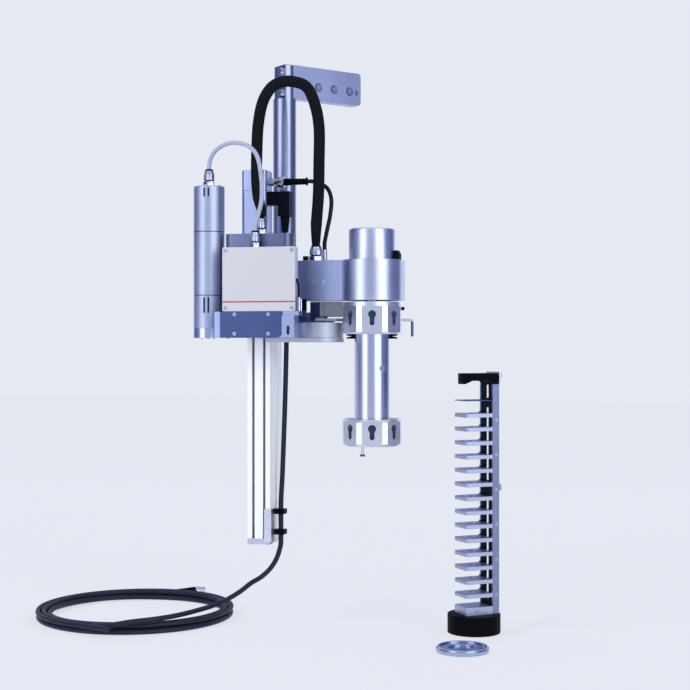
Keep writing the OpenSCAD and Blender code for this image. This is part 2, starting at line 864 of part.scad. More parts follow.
// Small things on the arm: the sensor cable's sleeve, a stud and screws
module arm_studs() {
  on_axis() {
    color(chrome) {
      translate([sleeve_x, sleeve_y, 0]) rod(sleeve_d / 2, arm_top, arm_top + sleeve_h);
      for (i = [0, 1]) translate([top_screw_x + i * top_screw_pitch, 0, 0])
        rod(top_screw_d / 2, arm_top, arm_top + top_screw_h);
      for (i = [0, 1])
        translate([side_screw_x + i * side_screw_pitch, -arm_w / 2, arm_top - side_screw_down])
          pan_head(side_screw_d, side_screw_h);
    }
    color(black) span([stud_x - stud_w / 2, -stud_w / 2, arm_top], [stud_x + stud_w / 2, stud_w / 2,
        arm_top + stud_h]);
  }
}

module cable_bracket() {
  bottom = clip_bracket_top - clip_bracket_h;
  color(aluminium) on_axis() {
    span([profile_right, profile_front - clip_bracket_t, bottom],
      [profile_right + clip_bracket_t, profile_front + clip_bracket_w, clip_bracket_top]);
    span([profile_right - profile_w / 4, profile_front - clip_bracket_t, bottom],
      [profile_right + clip_bracket_t, profile_front, clip_bracket_top]);
  }
}

module cable_clips() {
  color(black) on_axis() for (i = [0, 1]) translate([0, 0, clip_z - i * clip_pitch]) difference() {
    span([profile_right + clip_bracket_t, clip_y - clip_w / 2, -clip_h / 2],
      [clip_x + cord_d / 2 + clip_wall, clip_y + clip_w / 2, clip_h / 2]);
    translate([clip_x, clip_y, -clip_h]) cylinder(d = cord_d + 2 * run, h = 2 * clip_h);
  }
}

module main_cable() {
  route = concat([coil_end, coil_end + coil_out * cord_d], smooth(concat(cord_route, [[cord_exit[0],
      cord_exit[1], arm_bottom]]), route_steps));
  color(steel_blue) on_axis() tube(route, same(cord_d / 2, route), 8, [0, 1, 0]);
}

module cable_coil() {
  color(black) on_axis() tube(coil_path, same(cord_d / 2, coil_path), coil_sides, [0, 0, 1]);
}

// Moves to the plug that lies beside the coil, with z along the cable
module on_plug() { on_axis() translate(plug_start) rotate([0, 90, coil_start - 90]) children(); }

module plug_boot() {
  color(black) on_plug() cylinder(r1 = boot_tip_r, r2 = plug_r, h = boot_len);
}

module cable_plug() {
  color(chrome) on_plug() translate([0, 0, boot_len]) difference() {
    union() {
      rod(plug_r, 0, metal_nut_len);
      rod(plug_r * metal_share, 0, metal_len);
    }
    rod(plug_r * metal_bore_share, metal_nut_len, metal_len + over);
  }
}

module carriage_block() {
  color(plate_blue) on_axis() difference() {
    union() {
      round_span([block_left, block_front, block_bottom], [block_right, block_back, block_top],
          block_corner);
      span([block_left - holder_strip_w, holder_strip_front, block_bottom],
        [block_left + block_corner, block_back, holder_strip_top]);
    }
    translate([drive_x, drive_y, 0]) rod(swing_motor_d / 2 + slip, block_bottom - over, block_top + over);
  }
}

module slider() {
  bottom = slider_top - slider_h;
  leg_out = profile_open / 2 - run;
  color(aluminium) on_axis() difference() {
    translate([profile_x, 0, 0]) {
      span([-slider_w / 2, block_back, bottom], [slider_w / 2, profile_front - run, slider_top]);
      for (side = [0, 1]) mirror([side, 0, 0])
        span([leg_out - slider_leg, block_back, bottom], [leg_out, screw_y, slider_top]);
      span([-nut_w / 2, cavity_front + run, bottom], [nut_w / 2, nut_back, slider_top]);
    }
    translate([profile_x, screw_y, 0]) rod(screw_d / 2 + slip, bottom - over, slider_top + over);
  }
}

// Upright plate with round corners, between two corners
module panel(a, b, r) {
  translate([0, b[1], 0]) rotate([90, 0, 0]) linear_extrude(b[1] - a[1]) {
    translate([a[0] + r, a[2]]) square([b[0] - a[0] - 2 * r, b[2] - a[2]]);
    translate([a[0], a[2] + r]) square([b[0] - a[0], b[2] - a[2] - 2 * r]);
    for (x = [a[0] + r, b[0] - r], z = [a[2] + r, b[2] - r]) translate([x, z]) circle(r);
  }
}

module control_box() {
  color(white) on_axis() round_span([box_left + box_corner, lid_front + lid_t, box_bottom + box_corner],
    [box_right - box_corner, block_front, box_top], box_corner);
}

module box_lid() {
  color(white) on_axis() panel([box_left, lid_front, box_bottom], [box_right, lid_front + lid_t, box_top],
    box_corner);
}

module carriage_screws() {
  color(chrome) on_axis() {
    for (x = [box_left + lid_screw_inset, box_right - lid_screw_inset],
         z = [box_bottom + lid_screw_inset, box_top - lid_screw_inset])
      translate([x, lid_front, z]) pan_head(lid_screw_d, lid_screw_h);
    for (i = [0, 1], k = [0, 1])
      translate([cover_left + cover_screw_in + i * cover_screw_w, cover_front,
        belt_top - cover_screw_top - k * cover_screw_pitch]) pan_head(cover_screw_d, cover_screw_h);
    for (x = under_screws) translate([x, under_screw_y, 0])
      rod(under_screw_d / 2, belt_bottom - under_screw_h, belt_bottom);
  }
}

module lid_stripe() {
  color("firebrick") on_axis() span([box_left, lid_front - stripe_t, box_top - stripe_down - stripe_h],
    [box_right, lid_front, box_top - stripe_down]);
}

module front_gland() {
  color(chrome) on_axis() translate([gland_x, block_front - box_d / 2, box_top])
    gland(front_gland_d, front_gland_h);
}

module control_cable() {
  route = smooth(concat([[drive_x, drive_y, swing_top + swing_gland_h]], control_route,
    [[gland_x, block_front - box_d / 2, box_top + front_gland_h]]), route_steps);
  color(aluminium) on_axis() tube(route, same(control_d / 2, route), 8, [0, 1, 0]);
}

module rear_gland() {
  color(chrome) on_axis() translate([gland_x, rear_gland_y, block_top]) gland(rear_gland_d, rear_gland_h);
}

module belt_housing() {
  channel = drive_r + drive_room;
  color(plate_blue) on_axis() difference() {
    union() {
      span([belt_left, belt_front, belt_bottom], [belt_right, belt_back, belt_top]);
      translate([drive_x, drive_y, 0]) rod(swing_motor_d / 2 + run, belt_bottom, motor_bottom);
      span([drive_x, drive_y, belt_bottom], [belt_left + over, belt_back,
          motor_bottom]);
    }
    translate([drive_x, drive_y, 0]) {
      rod(swing_motor_d / 2 + slip, motor_bottom, belt_top + over);
      rod(channel, belt_bottom + drive_room, belt_bottom + belt_pocket_h);
      rod(shank_d / 2 + slip, belt_bottom + belt_pocket_h - over, motor_bottom + over);
    }
    span([drive_x, drive_y - channel, belt_bottom + drive_room],
      [belt_right - channel, drive_y + channel, belt_bottom + belt_pocket_h]);
  }
}

module belt_cover() {
  right = belt_right;
  r = cover_corner;
  color(steel_blue) on_axis() translate([0, belt_front, 0]) rotate([90, 0, 0]) linear_extrude(cover_t) {
    translate([cover_left, belt_bottom]) square([right - r - cover_left, belt_h]);
    translate([cover_left, belt_bottom + r]) square([right - cover_left, belt_h - r]);
    translate([right - r, belt_bottom + r]) circle(r);
  }
}

module bearing_plate() {
  r = drum_r + bearing_margin;
  bottom = belt_bottom - bearing_t;
  color(aluminium) on_axis() {
    translate([0, 0, bottom]) linear_extrude(bearing_t) {
      translate([drum_x, drum_y]) circle(r);
      polygon([[bearing_left, bearing_front], [drum_x, drum_y - r], [drum_x, drum_y],
        [drum_x - r, drum_y], [bearing_left + bearing_neck, bearing_back], [bearing_left, bearing_back]]);
    }
    translate([drum_x, drum_y, 0]) rod(axle_d / 2, bottom, drum_top - axle_short);
  }
}

module strain_bracket() {
  top = belt_bottom + strain_h;
  right = belt_right + strain_w;
  on_axis() {
    color(plate_blue) difference() {
      span([belt_right, strain_front, belt_bottom], [right, strain_front + strain_d, top]);
      translate([belt_right + strain_slot_at, 0, belt_bottom + strain_slot_up]) rotate([90, 0, 0])
        linear_extrude(-strain_front + over) {
          for (z = [-1, 1]) translate([0,
              z * (strain_slot_h - strain_slot_w) / 2]) circle(d = strain_slot_w);
          square([strain_slot_w, strain_slot_h - strain_slot_w], center = true);
        }
    }
    color(black) span([belt_right, strain_front + cover_t, top],
      [probe_x + probe_d / 2, strain_front + strain_d, top + strain_top_h]);
  }
}

// Two upright grooves in the side of the swing motor
module motor_slots(top, h) {
  rotate([0, 0, turret_face_turn + 90]) for (i = [0, 1])
    translate([motor_slot_at + i * (motor_slot_w + motor_slot_gap), 0, 0])
      span([0, -swing_motor_d / 2 - over, top - h], [motor_slot_w, -swing_motor_d / 2 + motor_slot_deep,
          top]);
}

module swing_motor() {
  r = swing_motor_d / 2;
  color(aluminium) on_axis() translate([drive_x, drive_y, 0]) {
    difference() {
      rotate_extrude() polygon([[0, gear_top], [r, gear_top], [r, swing_top - motor_seam_down],
        [r - motor_groove, swing_top - motor_seam_down], [r - motor_groove,
            swing_top - motor_seam_down + motor_groove_d],
        [r, swing_top - motor_seam_down + motor_groove_d], [r, swing_top - motor_groove_d],
        [r - motor_groove_d, swing_top], [0, swing_top]]);
      motor_slots(swing_top - motor_slot_gap, motor_slot_h);
    }
    for (i = [0:3]) rotate([0, 0, 90 * i]) translate([r * swing_screw_share, 0, 0])
      rod(swing_screw_d / 2, swing_top, swing_top + swing_screw_h);
  }
}

module swing_gearbox() {
  r = swing_motor_d / 2;
  color(aluminium) on_axis() translate([drive_x, drive_y, 0]) difference() {
    rotate_extrude() polygon([[0, motor_bottom], [r, motor_bottom], [r, gear_top - motor_groove_d],
      [r - motor_groove, gear_top - motor_groove_d], [r - motor_groove, gear_top], [0, gear_top]]);
    motor_slots(gear_top - motor_slot_gap, motor_slot_low_h);
    rod(shank_d / 2 + slip, motor_bottom - over, motor_bottom + drive_shaft_in);
  }
}

module swing_gland() {
  color(chrome) on_axis() translate([drive_x, drive_y, swing_top]) gland(swing_gland_d, swing_gland_h);
}

module probe_plug() {
  route = smooth(concat([[box_right - box_corner, probe_y, probe_exit]], probe_route,
    [[probe_x, probe_y, probe_top]]), 2);
  bottom = belt_bottom + strain_h + strain_top_h;
  color(chrome) on_axis() translate([probe_x, probe_y, 0]) rod(probe_d / 2, bottom, probe_top);
  color(black) on_axis() tube(route, same(probe_cable_d / 2, route), 8, [0, 1, 0]);
}

module braided_hose() {
  route = smooth(concat([[arm_gland_x, 0, arm_top + arm_gland_h]], hose_route,
    [[gland_x, rear_gland_y, block_top + rear_gland_h]]), route_steps);
  last = len(route) - 1;
  slim = arm_gland_d * gland_neck_share / 2;
  radii = [for (i = [0:last]) let (at = min(i, last - i) / route_steps) min(hose_d / 2,
    (i < last / 2 ? slim : rear_gland_d * gland_neck_share / 2) + at * hose_d / 4)];
  color(black) on_axis() tube(route, radii, 12, [0, 1, 0]);
}

module leadscrew() {
  color(aluminium) on_axis() translate([profile_x, screw_y, 0]) {
    rod(screw_d / 2, -profile_bottom + run, -profile_top - run);
    rod(journal_d / 2, -profile_bottom - cap_plate_h + run, -profile_top + journal_up - run - over);
  }
}

module drive_pulley() {
  color(chrome) on_axis() translate([drive_x, drive_y, 0]) {
    rod(drive_r, belt_bottom + drive_room + drive_short, belt_bottom + belt_pocket_h - drive_short);
    rod(shank_d / 2, belt_bottom + drive_room + drive_short, motor_bottom + drive_shaft_in - over);
  }
}

module swing_drum() {
  color(aluminium) on_axis() translate([drum_x, drum_y, 0]) difference() {
    rod(drum_r, drum_bottom, drum_top);
    rod(axle_d / 2 + slip, drum_bottom - over, drum_top + over);
  }
}

module gripper_base() {
  color(steel_blue) on_axis() {
    span([base_left, base_front, drum_top], [base_right, base_back, blade_top - blade_t]);
    span([base_left, base_front, drum_top], [base_split, gripper_front, base_block_top]);
    translate([drum_x, drum_y, 0]) rod(stand_r, drum_top, gripper_top - gripper_h);
  }
}

module gripper_body() {
  bottom = gripper_top - gripper_h;
  color(white) on_axis() {
    span([gripper_left, gripper_front, bottom], [gripper_right, gripper_front + gripper_d, gripper_top]);
    for (i = [0, 1]) translate([gripper_split + i * gripper_rib_pitch, gripper_front - gripper_rib_proud,
        bottom])
      cube([gripper_rib, gripper_rib_proud, gripper_h]);
  }
}

// Blade that reaches round the back of the turret and carries a sample in its fork
module gripper_blade() {
  color(white) on_axis() {
    translate([0, 0, blade_top - blade_t]) linear_extrude(blade_t) difference() {
      polygon([for (p = blade_outline_shares) [blade_left * p[0] - blade_shift, blade_clear * p[1]]]);
      circle(blade_clear);
      translate([drum_x, drum_y]) circle(stand_r + slip);
      rotate(fork_turn) translate([fork_at, 0]) circle(fork_r);
    }
    translate([tip_x - tip_t / 2, tip_y - tip_w / 2, blade_top - blade_t - tip_h]) cube([tip_t, tip_w,
        tip_h]);
  }
}

module arm_fittings() {
  on_axis() {
    color(chrome) {
      span([fitting_block_left, base_front - fitting_block_d, fitting_block_bottom],
        [fitting_block_right, base_front, fitting_block_top]);
      translate([fitting_left_x, fitting_y, 0]) rod(fitting_d / 2, fitting_block_top, fitting_top);
    }
    color(black) translate([fitting_right_x, fitting_y, 0]) rod(fitting_d / 2, fitting_block_top,
        fitting_top);
  }
}

// Outline of a collar: faces for magazines, with cut corners
module faceted(low, high) {
  translate([0, 0, low]) linear_extrude(high - low) polygon([for (i = [0:faces - 1], side = [-1, 1])
    let (angle = turret_face_turn + 360 * i / faces + side * face_half) face_r * [cos(angle), sin(angle)]]);
}

// Keyhole for a hanging pin: x = 0 is the face, z = 0 the keyhole's top
module keyhole() {
  low = -keyhole_h + keyhole_slot / 2;
  translate([-keyhole_deep, 0, -keyhole_d / 2]) rotate([0, 90, 0]) rod(keyhole_d / 2, 0,
      keyhole_deep + over);
  span([-keyhole_deep, -keyhole_slot / 2, low], [over, keyhole_slot / 2, -keyhole_d / 2]);
  translate([-keyhole_deep, 0, low]) rotate([0, 90, 0]) rod(keyhole_slot / 2, 0, keyhole_deep + over);
  span([-keyhole_deep, -keyhole_d / 2, low], [-keyhole_wall, keyhole_d / 2, -keyhole_d / 2]);
  translate([-keyhole_deep, 0, low]) rotate([0, 90, 0]) rod(keyhole_d / 2, 0, keyhole_deep - keyhole_wall);
}

module keyholes(top) {
  for (i = [0:faces - 1]) rotate([0, 0, turret_face_turn + 360 * i / faces]) translate([face_at, 0,
      top]) keyhole();
}

module turret_head() {
  color(aluminium) on_axis() difference() {
    union() {
      rod(turret_shaft_d / 2, collar_top, arm_bottom + nose_bore_up - over);
      rod(flange_d / 2, collar_top, turret_top);
      intersection() {
        faceted(collar_bottom, collar_top);
        rotate_extrude() polygon([[0, collar_bottom], [face_r - collar_cut, collar_bottom],
          [face_r + run, collar_bottom + collar_chamfer], [face_r + run, collar_top], [0, collar_top]]);
      }
    }
    keyholes(collar_top - keyhole_top);
    rotate([0, 0, turret_face_turn + index_stud_turn]) translate([0, 0, collar_top - index_stud_down])
      rotate([0, 90, 0]) rod(index_stud_d / 2 + slip, flange_d / 2 - index_stud_len / 2, flange_d);
  }
}

module turret_tube() {
  r = tube_d / 2;
  color(aluminium) on_axis() difference() {
    rod(r, foot_top, collar_bottom);
    rod(r - tube_wall, foot_top - over, collar_bottom + over);
    rotate([0, 0, turret_face_turn + lock_screw_turn]) translate([0, 0, collar_bottom - lock_screw_down])
      rotate([0, 90, 0]) {
        rod(stop_pin_d / 2 + slip, 0, r + over);
        rod(lock_screw_d / 2 + slip, r - slip - lock_screw_sunk, r + over);
      }
  }
}

module turret_foot() {
  edge = face_r * foot_cone_share;
  color(aluminium) on_axis() difference() {
    intersection() {
      faceted(foot_bottom, foot_top);
      rotate_extrude() polygon([[0, foot_bottom], [edge, foot_bottom], [face_r + run,
          foot_bottom + foot_cone],
        [face_r + run, foot_top - foot_cone], [edge, foot_top], [0, foot_top]]);
    }
    keyholes(foot_top - foot_keyhole_top);
    rotate([0, 0, turret_face_turn + stop_pin_turn]) translate([stop_pin_r, 0, 0])
      rod(stop_pin_d / 2 + slip, foot_bottom - over, foot_bottom + stop_pin_d + over);
  }
}

// Half ring under the collar, open to the front
module seal_ring() {
  r = seal_d / 2;
  bore = tube_d / 2 + slip;
  color(black) on_axis() translate([0, 0, collar_bottom - seal_h]) rotate([0, 0, turret_face_turn + 90])
    rotate_extrude(angle = 180) polygon([[bore, 0], [r, 0], [r, seal_lip], [bore + seal_lip * 2,
        seal_h / 2], [r, seal_h - seal_lip],
      [r, seal_h], [bore, seal_h]]);
}

module turret_screws() {
  r = tube_d / 2;
  color(chrome) on_axis() {
    rotate([0, 0, turret_face_turn + lock_screw_turn]) translate([0, 0, collar_bottom - lock_screw_down])
      rotate([0, 90, 0]) {
        rod(stop_pin_d / 2, r - tube_wall, r - lock_screw_sunk);
        rod(lock_screw_d / 2, r - lock_screw_sunk, r + lock_screw_proud);
      }
    rotate([0, 0, turret_face_turn + stop_pin_turn]) translate([stop_pin_r, 0, 0]) {
      rod(stop_pin_d / 2, foot_bottom - stop_pin_h, foot_bottom + stop_pin_d);
      rod(stop_pin_head / 2, foot_bottom - stop_pin_h, foot_bottom - stop_pin_h + stop_pin_head_h);
    }
  }
  color(black) on_axis() rotate([0, 0, turret_face_turn + index_stud_turn])
    translate([0, 0, collar_top - index_stud_down]) rotate([0, 90, 0])
      rod(index_stud_d / 2, flange_d / 2 - index_stud_len / 2 + run, flange_d / 2 + index_stud_len);
}

level_top = base_h + block_level_h;
handle_bottom = mag_h - handle_cap_t - handle_h;
shelf_back = mag_back - back_inset - back_t;
side_front = mag_back - side_d;

// Outline of a shelf, from its front to the back panel
module shelf_outline() {
  translate([-shelf_front + shelf_corner, -mag_w / 2]) square([shelf_front - shelf_corner + side_front,
      mag_w]);
  translate([-shelf_front, shelf_corner - mag_w / 2]) square([shelf_front + side_front,
      mag_w - 2 * shelf_corner]);
  translate([0, side_t - mag_w / 2]) square([shelf_back, mag_w - 2 * side_t]);
  for (side = [-1, 1]) translate([shelf_corner - shelf_front, side * (mag_w / 2 - shelf_corner)])
    circle(shelf_corner);
}

// Plan of the rim round a shelf's pocket, which is open to the front
module slotted_outline() {
  difference() {
    shelf_outline();
    translate([shelf_slot_x, 0]) circle(shelf_slot_r);
    translate([-shelf_front - over, -shelf_slot_r])
      square([shelf_front + over + shelf_slot_x, 2 * shelf_slot_r]);
  }
}

module magazine_base() {
  color(black) on_magazine() translate([base_x, 0, 0]) cylinder(r = base_r, h = base_h);
}

module magazine_shelves() {
  color(aluminium) on_magazine() {
    translate([0, 0, base_h]) linear_extrude(block_level_h) shelf_outline();
    for (i = [1:shelves]) translate([0, 0, shelf_zero + i * shelf_pitch - shelf_t]) {
      linear_extrude(shelf_t - shelf_pocket) shelf_outline();
      linear_extrude(shelf_t) slotted_outline();
    }
    translate([0, 0, mag_h - guide_down - guide_t]) linear_extrude(guide_t) shelf_outline();
  }
}

module magazine_frame() {
  color(aluminium) on_magazine() for (side = [0, 1]) mirror([0, side, 0]) {
    span([side_front, mag_w / 2 - side_t, base_h], [mag_back, mag_w / 2, handle_bottom]);
    translate([0, mag_w / 2, 0]) rotate([90, 0, 0]) linear_extrude(side_t) for (i = [1:shelves]) {
      top = shelf_zero + i * shelf_pitch;
      polygon([[side_front + over, top], [side_front - comb_fillet, top], [side_front, top + comb_fillet],
        [side_front + over, top + comb_fillet]]);
      polygon([[side_front + over, top - shelf_t], [side_front - comb_fillet, top - shelf_t],
        [side_front, top - shelf_t - comb_fillet], [side_front + over, top - shelf_t - comb_fillet]]);
    }
  }
}

module magazine_back() {
  pin_z = mag_h - hang_down - keyhole_pitch;
  rear = shelf_back + back_t;
  color(black) on_magazine() difference() {
    span([shelf_back, side_t - mag_w / 2, base_h], [rear, mag_w / 2 - side_t, handle_bottom]);
    for (gap = [[level_top + back_slot_ends, pin_z - back_web_h / 2],
        [pin_z + back_web_h / 2, guide_web_low],
        [guide_web_low + guide_web_h, handle_bottom - back_slot_lip]])
      span([shelf_back - over, -back_slot_w / 2, gap[0]], [rear + over, back_slot_w / 2, gap[1]]);
  }
}

module magazine_handle() {
  on_magazine() {
    color(black) translate([0, 0, handle_bottom]) difference() {
      linear_extrude(handle_h) polygon([[mag_back, -mag_w / 2], [mag_back, mag_w / 2], [-handle_front,
          mag_w / 2],
        [-handle_nose, handle_nose_w / 2], [-handle_nose, -handle_nose_w / 2], [-handle_front,
            -mag_w / 2]]);
      translate([0, mag_w, 0]) rotate([90, 0, 0]) linear_extrude(2 * mag_w)
        polygon([[-handle_lip, -over], [-handle_lip, 0],
          [handle_lip_slope - handle_lip, handle_recess], [handle_recess_end, handle_recess],
          [handle_recess_end + handle_recess_slope, 0],
          [handle_recess_end + handle_recess_slope, -over]]);
    }
    color(plate_blue) span([mag_back, -mag_w / 2, mag_h - handle_cap_h],
      [mag_back + handle_cap_d, mag_w / 2, mag_h]);
  }
}

module magazine_screws() {
  color(chrome) on_magazine() {
    for (i = [0, 1]) translate([mag_back, 0, mag_h - hang_down - i * keyhole_pitch]) rotate([0, 90, 0]) {
      rod(hang_pin_d / 2, handle_cap_d - i * (handle_cap_d + back_inset), hang_pin_len);
      rod(hang_head_d / 2, hang_pin_len, hang_pin_len + hang_head_h);
    }
    for (side = [0, 1]) mirror([0, side, 0]) {
      for (i = [0:5]) translate([mag_back - side_d / 2, -mag_w / 2,
          mag_h - comb_screw_down - i * comb_screw_pitch])
        pan_head(comb_screw_d, comb_screw_h);
      translate([-level_screw_x, -mag_w / 2, base_h + block_level_h / 2]) pan_head(comb_screw_d,
          comb_screw_h);
    }
  }
}

module sample_holder() {
  r = holder_d / 2;
  rim = r - holder_step;
  color(aluminium) on_axis() translate([holder_x, holder_y, floor_z]) rotate_extrude()
    polygon([[0, 0], [r, 0], [r, holder_h - holder_step_h], [rim, holder_h - holder_step_h], [rim,
        holder_h],
      [rim - holder_rim, holder_h], [rim - holder_rim, holder_h - holder_step], [holder_well_d / 2,
          holder_h - holder_step],
      [holder_well_d / 2, holder_well_floor], [0, holder_well_floor]]);
}

mount_plate();
frame_screws();
column();
column_saddle();
axis_profile();
end_cap();
lift_motor();
motor_foot();
sensor_plug();
sensor_cable();
motor_plug();
arm_beam();
nose_housing();
turret_motor();
motor_socket();
arm_gland();
arm_studs();
cable_bracket();
cable_clips();
main_cable();
cable_coil();
plug_boot();
cable_plug();
carriage_block();
slider();
control_box();
box_lid();
carriage_screws();
lid_stripe();
front_gland();
control_cable();
rear_gland();
belt_housing();
belt_cover();
bearing_plate();
strain_bracket();
swing_motor();
swing_gearbox();
swing_gland();
probe_plug();
braided_hose();
leadscrew();
drive_pulley();
swing_drum();
gripper_base();
gripper_body();
gripper_blade();
arm_fittings();
turret_head();
turret_tube();
turret_foot();
seal_ring();
turret_screws();
magazine_base();
magazine_shelves();
magazine_frame();
magazine_back();
magazine_handle();
magazine_screws();
sample_holder();
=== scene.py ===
# %% [markdown]
# # A diffractometer's autosampler, dressed in Blender
# The solids of this machine come from a CAD model: a wall plate and column, a lifting
# axis with a carriage, a pick-up arm, a turret, a magazine of shelves, a ring for one
# sample and a coiled data cable. This file gives them the looks of the photograph.
# It loads the solids and sets the camera, makes the cables and the finishes, then the
# machined and the turned pieces, the fittings, and last the studio.

# %% Load the solids
import json
import math

import bmesh
import bpy
import numpy as np

from mathutils import Matrix, Vector

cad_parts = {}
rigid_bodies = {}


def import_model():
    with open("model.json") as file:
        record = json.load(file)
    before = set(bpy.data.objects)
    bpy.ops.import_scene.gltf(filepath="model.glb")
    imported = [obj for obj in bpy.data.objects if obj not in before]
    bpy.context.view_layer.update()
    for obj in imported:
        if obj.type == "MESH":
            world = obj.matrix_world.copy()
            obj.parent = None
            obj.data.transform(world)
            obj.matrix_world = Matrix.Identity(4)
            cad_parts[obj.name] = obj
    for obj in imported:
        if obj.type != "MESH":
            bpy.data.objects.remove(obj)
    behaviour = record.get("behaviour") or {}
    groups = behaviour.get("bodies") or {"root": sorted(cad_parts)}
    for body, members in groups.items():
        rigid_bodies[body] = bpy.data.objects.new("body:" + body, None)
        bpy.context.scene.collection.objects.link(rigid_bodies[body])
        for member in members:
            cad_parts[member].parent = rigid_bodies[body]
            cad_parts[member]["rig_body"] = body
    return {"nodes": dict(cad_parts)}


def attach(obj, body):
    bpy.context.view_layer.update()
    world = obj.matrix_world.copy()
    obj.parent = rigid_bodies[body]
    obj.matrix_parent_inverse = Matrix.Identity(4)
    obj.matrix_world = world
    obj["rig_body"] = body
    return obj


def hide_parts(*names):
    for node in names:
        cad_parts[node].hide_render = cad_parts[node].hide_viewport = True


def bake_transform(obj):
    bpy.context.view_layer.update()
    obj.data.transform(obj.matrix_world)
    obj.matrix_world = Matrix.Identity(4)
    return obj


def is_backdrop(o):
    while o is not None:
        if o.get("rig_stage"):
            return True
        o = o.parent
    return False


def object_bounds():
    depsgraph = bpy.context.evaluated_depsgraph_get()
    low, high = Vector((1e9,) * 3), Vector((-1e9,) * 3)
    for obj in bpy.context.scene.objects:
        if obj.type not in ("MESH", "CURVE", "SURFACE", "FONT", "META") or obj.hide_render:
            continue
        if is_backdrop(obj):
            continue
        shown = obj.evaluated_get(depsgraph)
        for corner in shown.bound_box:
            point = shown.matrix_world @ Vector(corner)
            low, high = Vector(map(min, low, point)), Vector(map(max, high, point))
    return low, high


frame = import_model()
cad_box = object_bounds()
nodes = frame["nodes"]
print(len(nodes), "solids loaded")

# %% [markdown]
# All drawings of this machine measure from the turret's axis, in millimetres, with
# heights from the middle of the wall plate. One function turns such a point, or an
# array of them, into the metres of the loaded frame. Directions are degrees round the
# turret's axis; one face of its collars looks straight at the camera.

# %% From the drawing to the frame
AXIS = np.array([0.073532, -0.100501, 0.0])
FLOOR = -582.0
CAMERA_SIDE = -78.0


def placed(points):
    """Drawing millimetres from the turret's axis -> metres in the frame."""
    return np.asarray(points, float) / 1000 + AXIS


print("turret axis at", placed([0, 0, 0]).round(4))

# %% [markdown]
# The photograph is level: upright edges stay upright, so the camera doesn't tilt. A
# 73 mm lens on a 36 mm sensor, 1.4 m from the turret and turned 13 degrees to the
# left, puts every corner of the machine on its place in the picture.

# %% Camera
camera = bpy.data.objects.new("camera", bpy.data.cameras.new("camera"))
bpy.context.scene.collection.objects.link(camera)
camera.data.sensor_fit = "HORIZONTAL"
camera.data.sensor_width = 36
camera.data.lens = 73.04
camera.data.clip_end = 50
camera.location = placed([297.7, -1413.3, -286])
camera.rotation_euler = (math.pi / 2, 0, math.radians(13))
bpy.context.scene.camera = camera
print("camera at", [round(v, 3) for v in camera.location])

# %% [markdown]
# Every new surface here is a grid: rows of points along one parameter, columns along
# the other. Numpy works out all points at once, and one function turns the grid into
# a mesh. Ends that shrink to a point or stay open are closed by a single face.

# %% A grid of points becomes a mesh


def grid_mesh(name, grid, wrap_rows=False, caps=True, uv=None):
    """Rows x columns x 3 points -> mesh of quads; columns always close round the tube."""
    rows, cols = grid.shape[:2]
    i = np.arange(rows if wrap_rows else rows - 1)[:, None]
    j = np.arange(cols)[None, :]
    i2, j2 = (i + 1) % rows, (j + 1) % cols
    quads = np.stack([i * cols + j, i * cols + j2, i2 * cols + j2, i2 * cols + j], -1)
    faces = quads.reshape(-1, 4).tolist()
    if caps and not wrap_rows:
        ring = np.arange(cols)
        faces += [ring[::-1].tolist(), (ring + (rows - 1) * cols).tolist()]
    mesh = bpy.data.meshes.new(name)
    mesh.from_pydata(grid.reshape(-1, 3), [], faces)
    if uv is not None:
        layer = mesh.uv_layers.new(name="along")
        corner = np.empty(len(mesh.loops), np.int32)
        mesh.loops.foreach_get("vertex_index", corner)
        u = uv.reshape(-1, 2)[corner]
        # the last column of quads runs back to column 0, whose u is one turn further on
        count = quads.size
        last = np.repeat(np.tile(np.arange(cols) == cols - 1, len(i)), 4)
        first = corner[:count] % cols == 0
        u[:count, 0] = np.where(last & first, u[:count, 0] + 1, u[:count, 0])
        layer.data.foreach_set("uv", u.astype(np.float32).ravel())
    mesh.validate()
    obj = bpy.data.objects.new(name, mesh)
    bpy.context.scene.collection.objects.link(obj)
    return obj


def shade(obj, angle):
    """Smooth faces; edges sharper than the angle stay crisp. Doubles merge and faces turn out."""
    bm = bmesh.new()
    bm.from_mesh(obj.data)
    bmesh.ops.remove_doubles(bm, verts=bm.verts, dist=1e-7)
    bmesh.ops.recalc_face_normals(bm, faces=bm.faces)
    limit = math.radians(angle)
    for edge in bm.edges:
        edge.smooth = edge.calc_face_angle(0) < limit
    for face in bm.faces:
        face.smooth = True
    bm.to_mesh(obj.data)
    bm.free()
    return obj


# %% [markdown]
# A cable is a circle carried along a path. At each point of the path the circle stands
# square to the way the path runs there: the way t is the difference of its neighbours,
# u is square to t and to one fixed side, and v is square to both. The same function
# makes ribbed boots and the braided hose, because the radius may change with both
# the place along the path and the angle round it.

# %% A circle carried along a path


def smooth(points, steps):
    """Catmull-Rom curve: a cubic through four neighbours at a time, steps points a stretch."""
    p = np.asarray(points, float)
    q = np.vstack([p[:1], p, p[-1:]])
    t = (np.arange(steps) / steps)[None, :, None]
    a, b, c, d = (q[k : k + len(p) - 1][:, None, :] for k in range(4))
    bend = 2 * a - 5 * b + 4 * c - d
    twist = 3 * b - a - 3 * c + d
    curve = 0.5 * (2 * b + (c - a) * t + bend * t**2 + twist * t**3)
    return np.vstack([curve.reshape(-1, 3), p[-1:]])


def run_length(path):
    """Distance along the path from its start to each of its points."""
    return np.concatenate([[0], np.cumsum(np.linalg.norm(np.diff(path, axis=0), axis=1))])


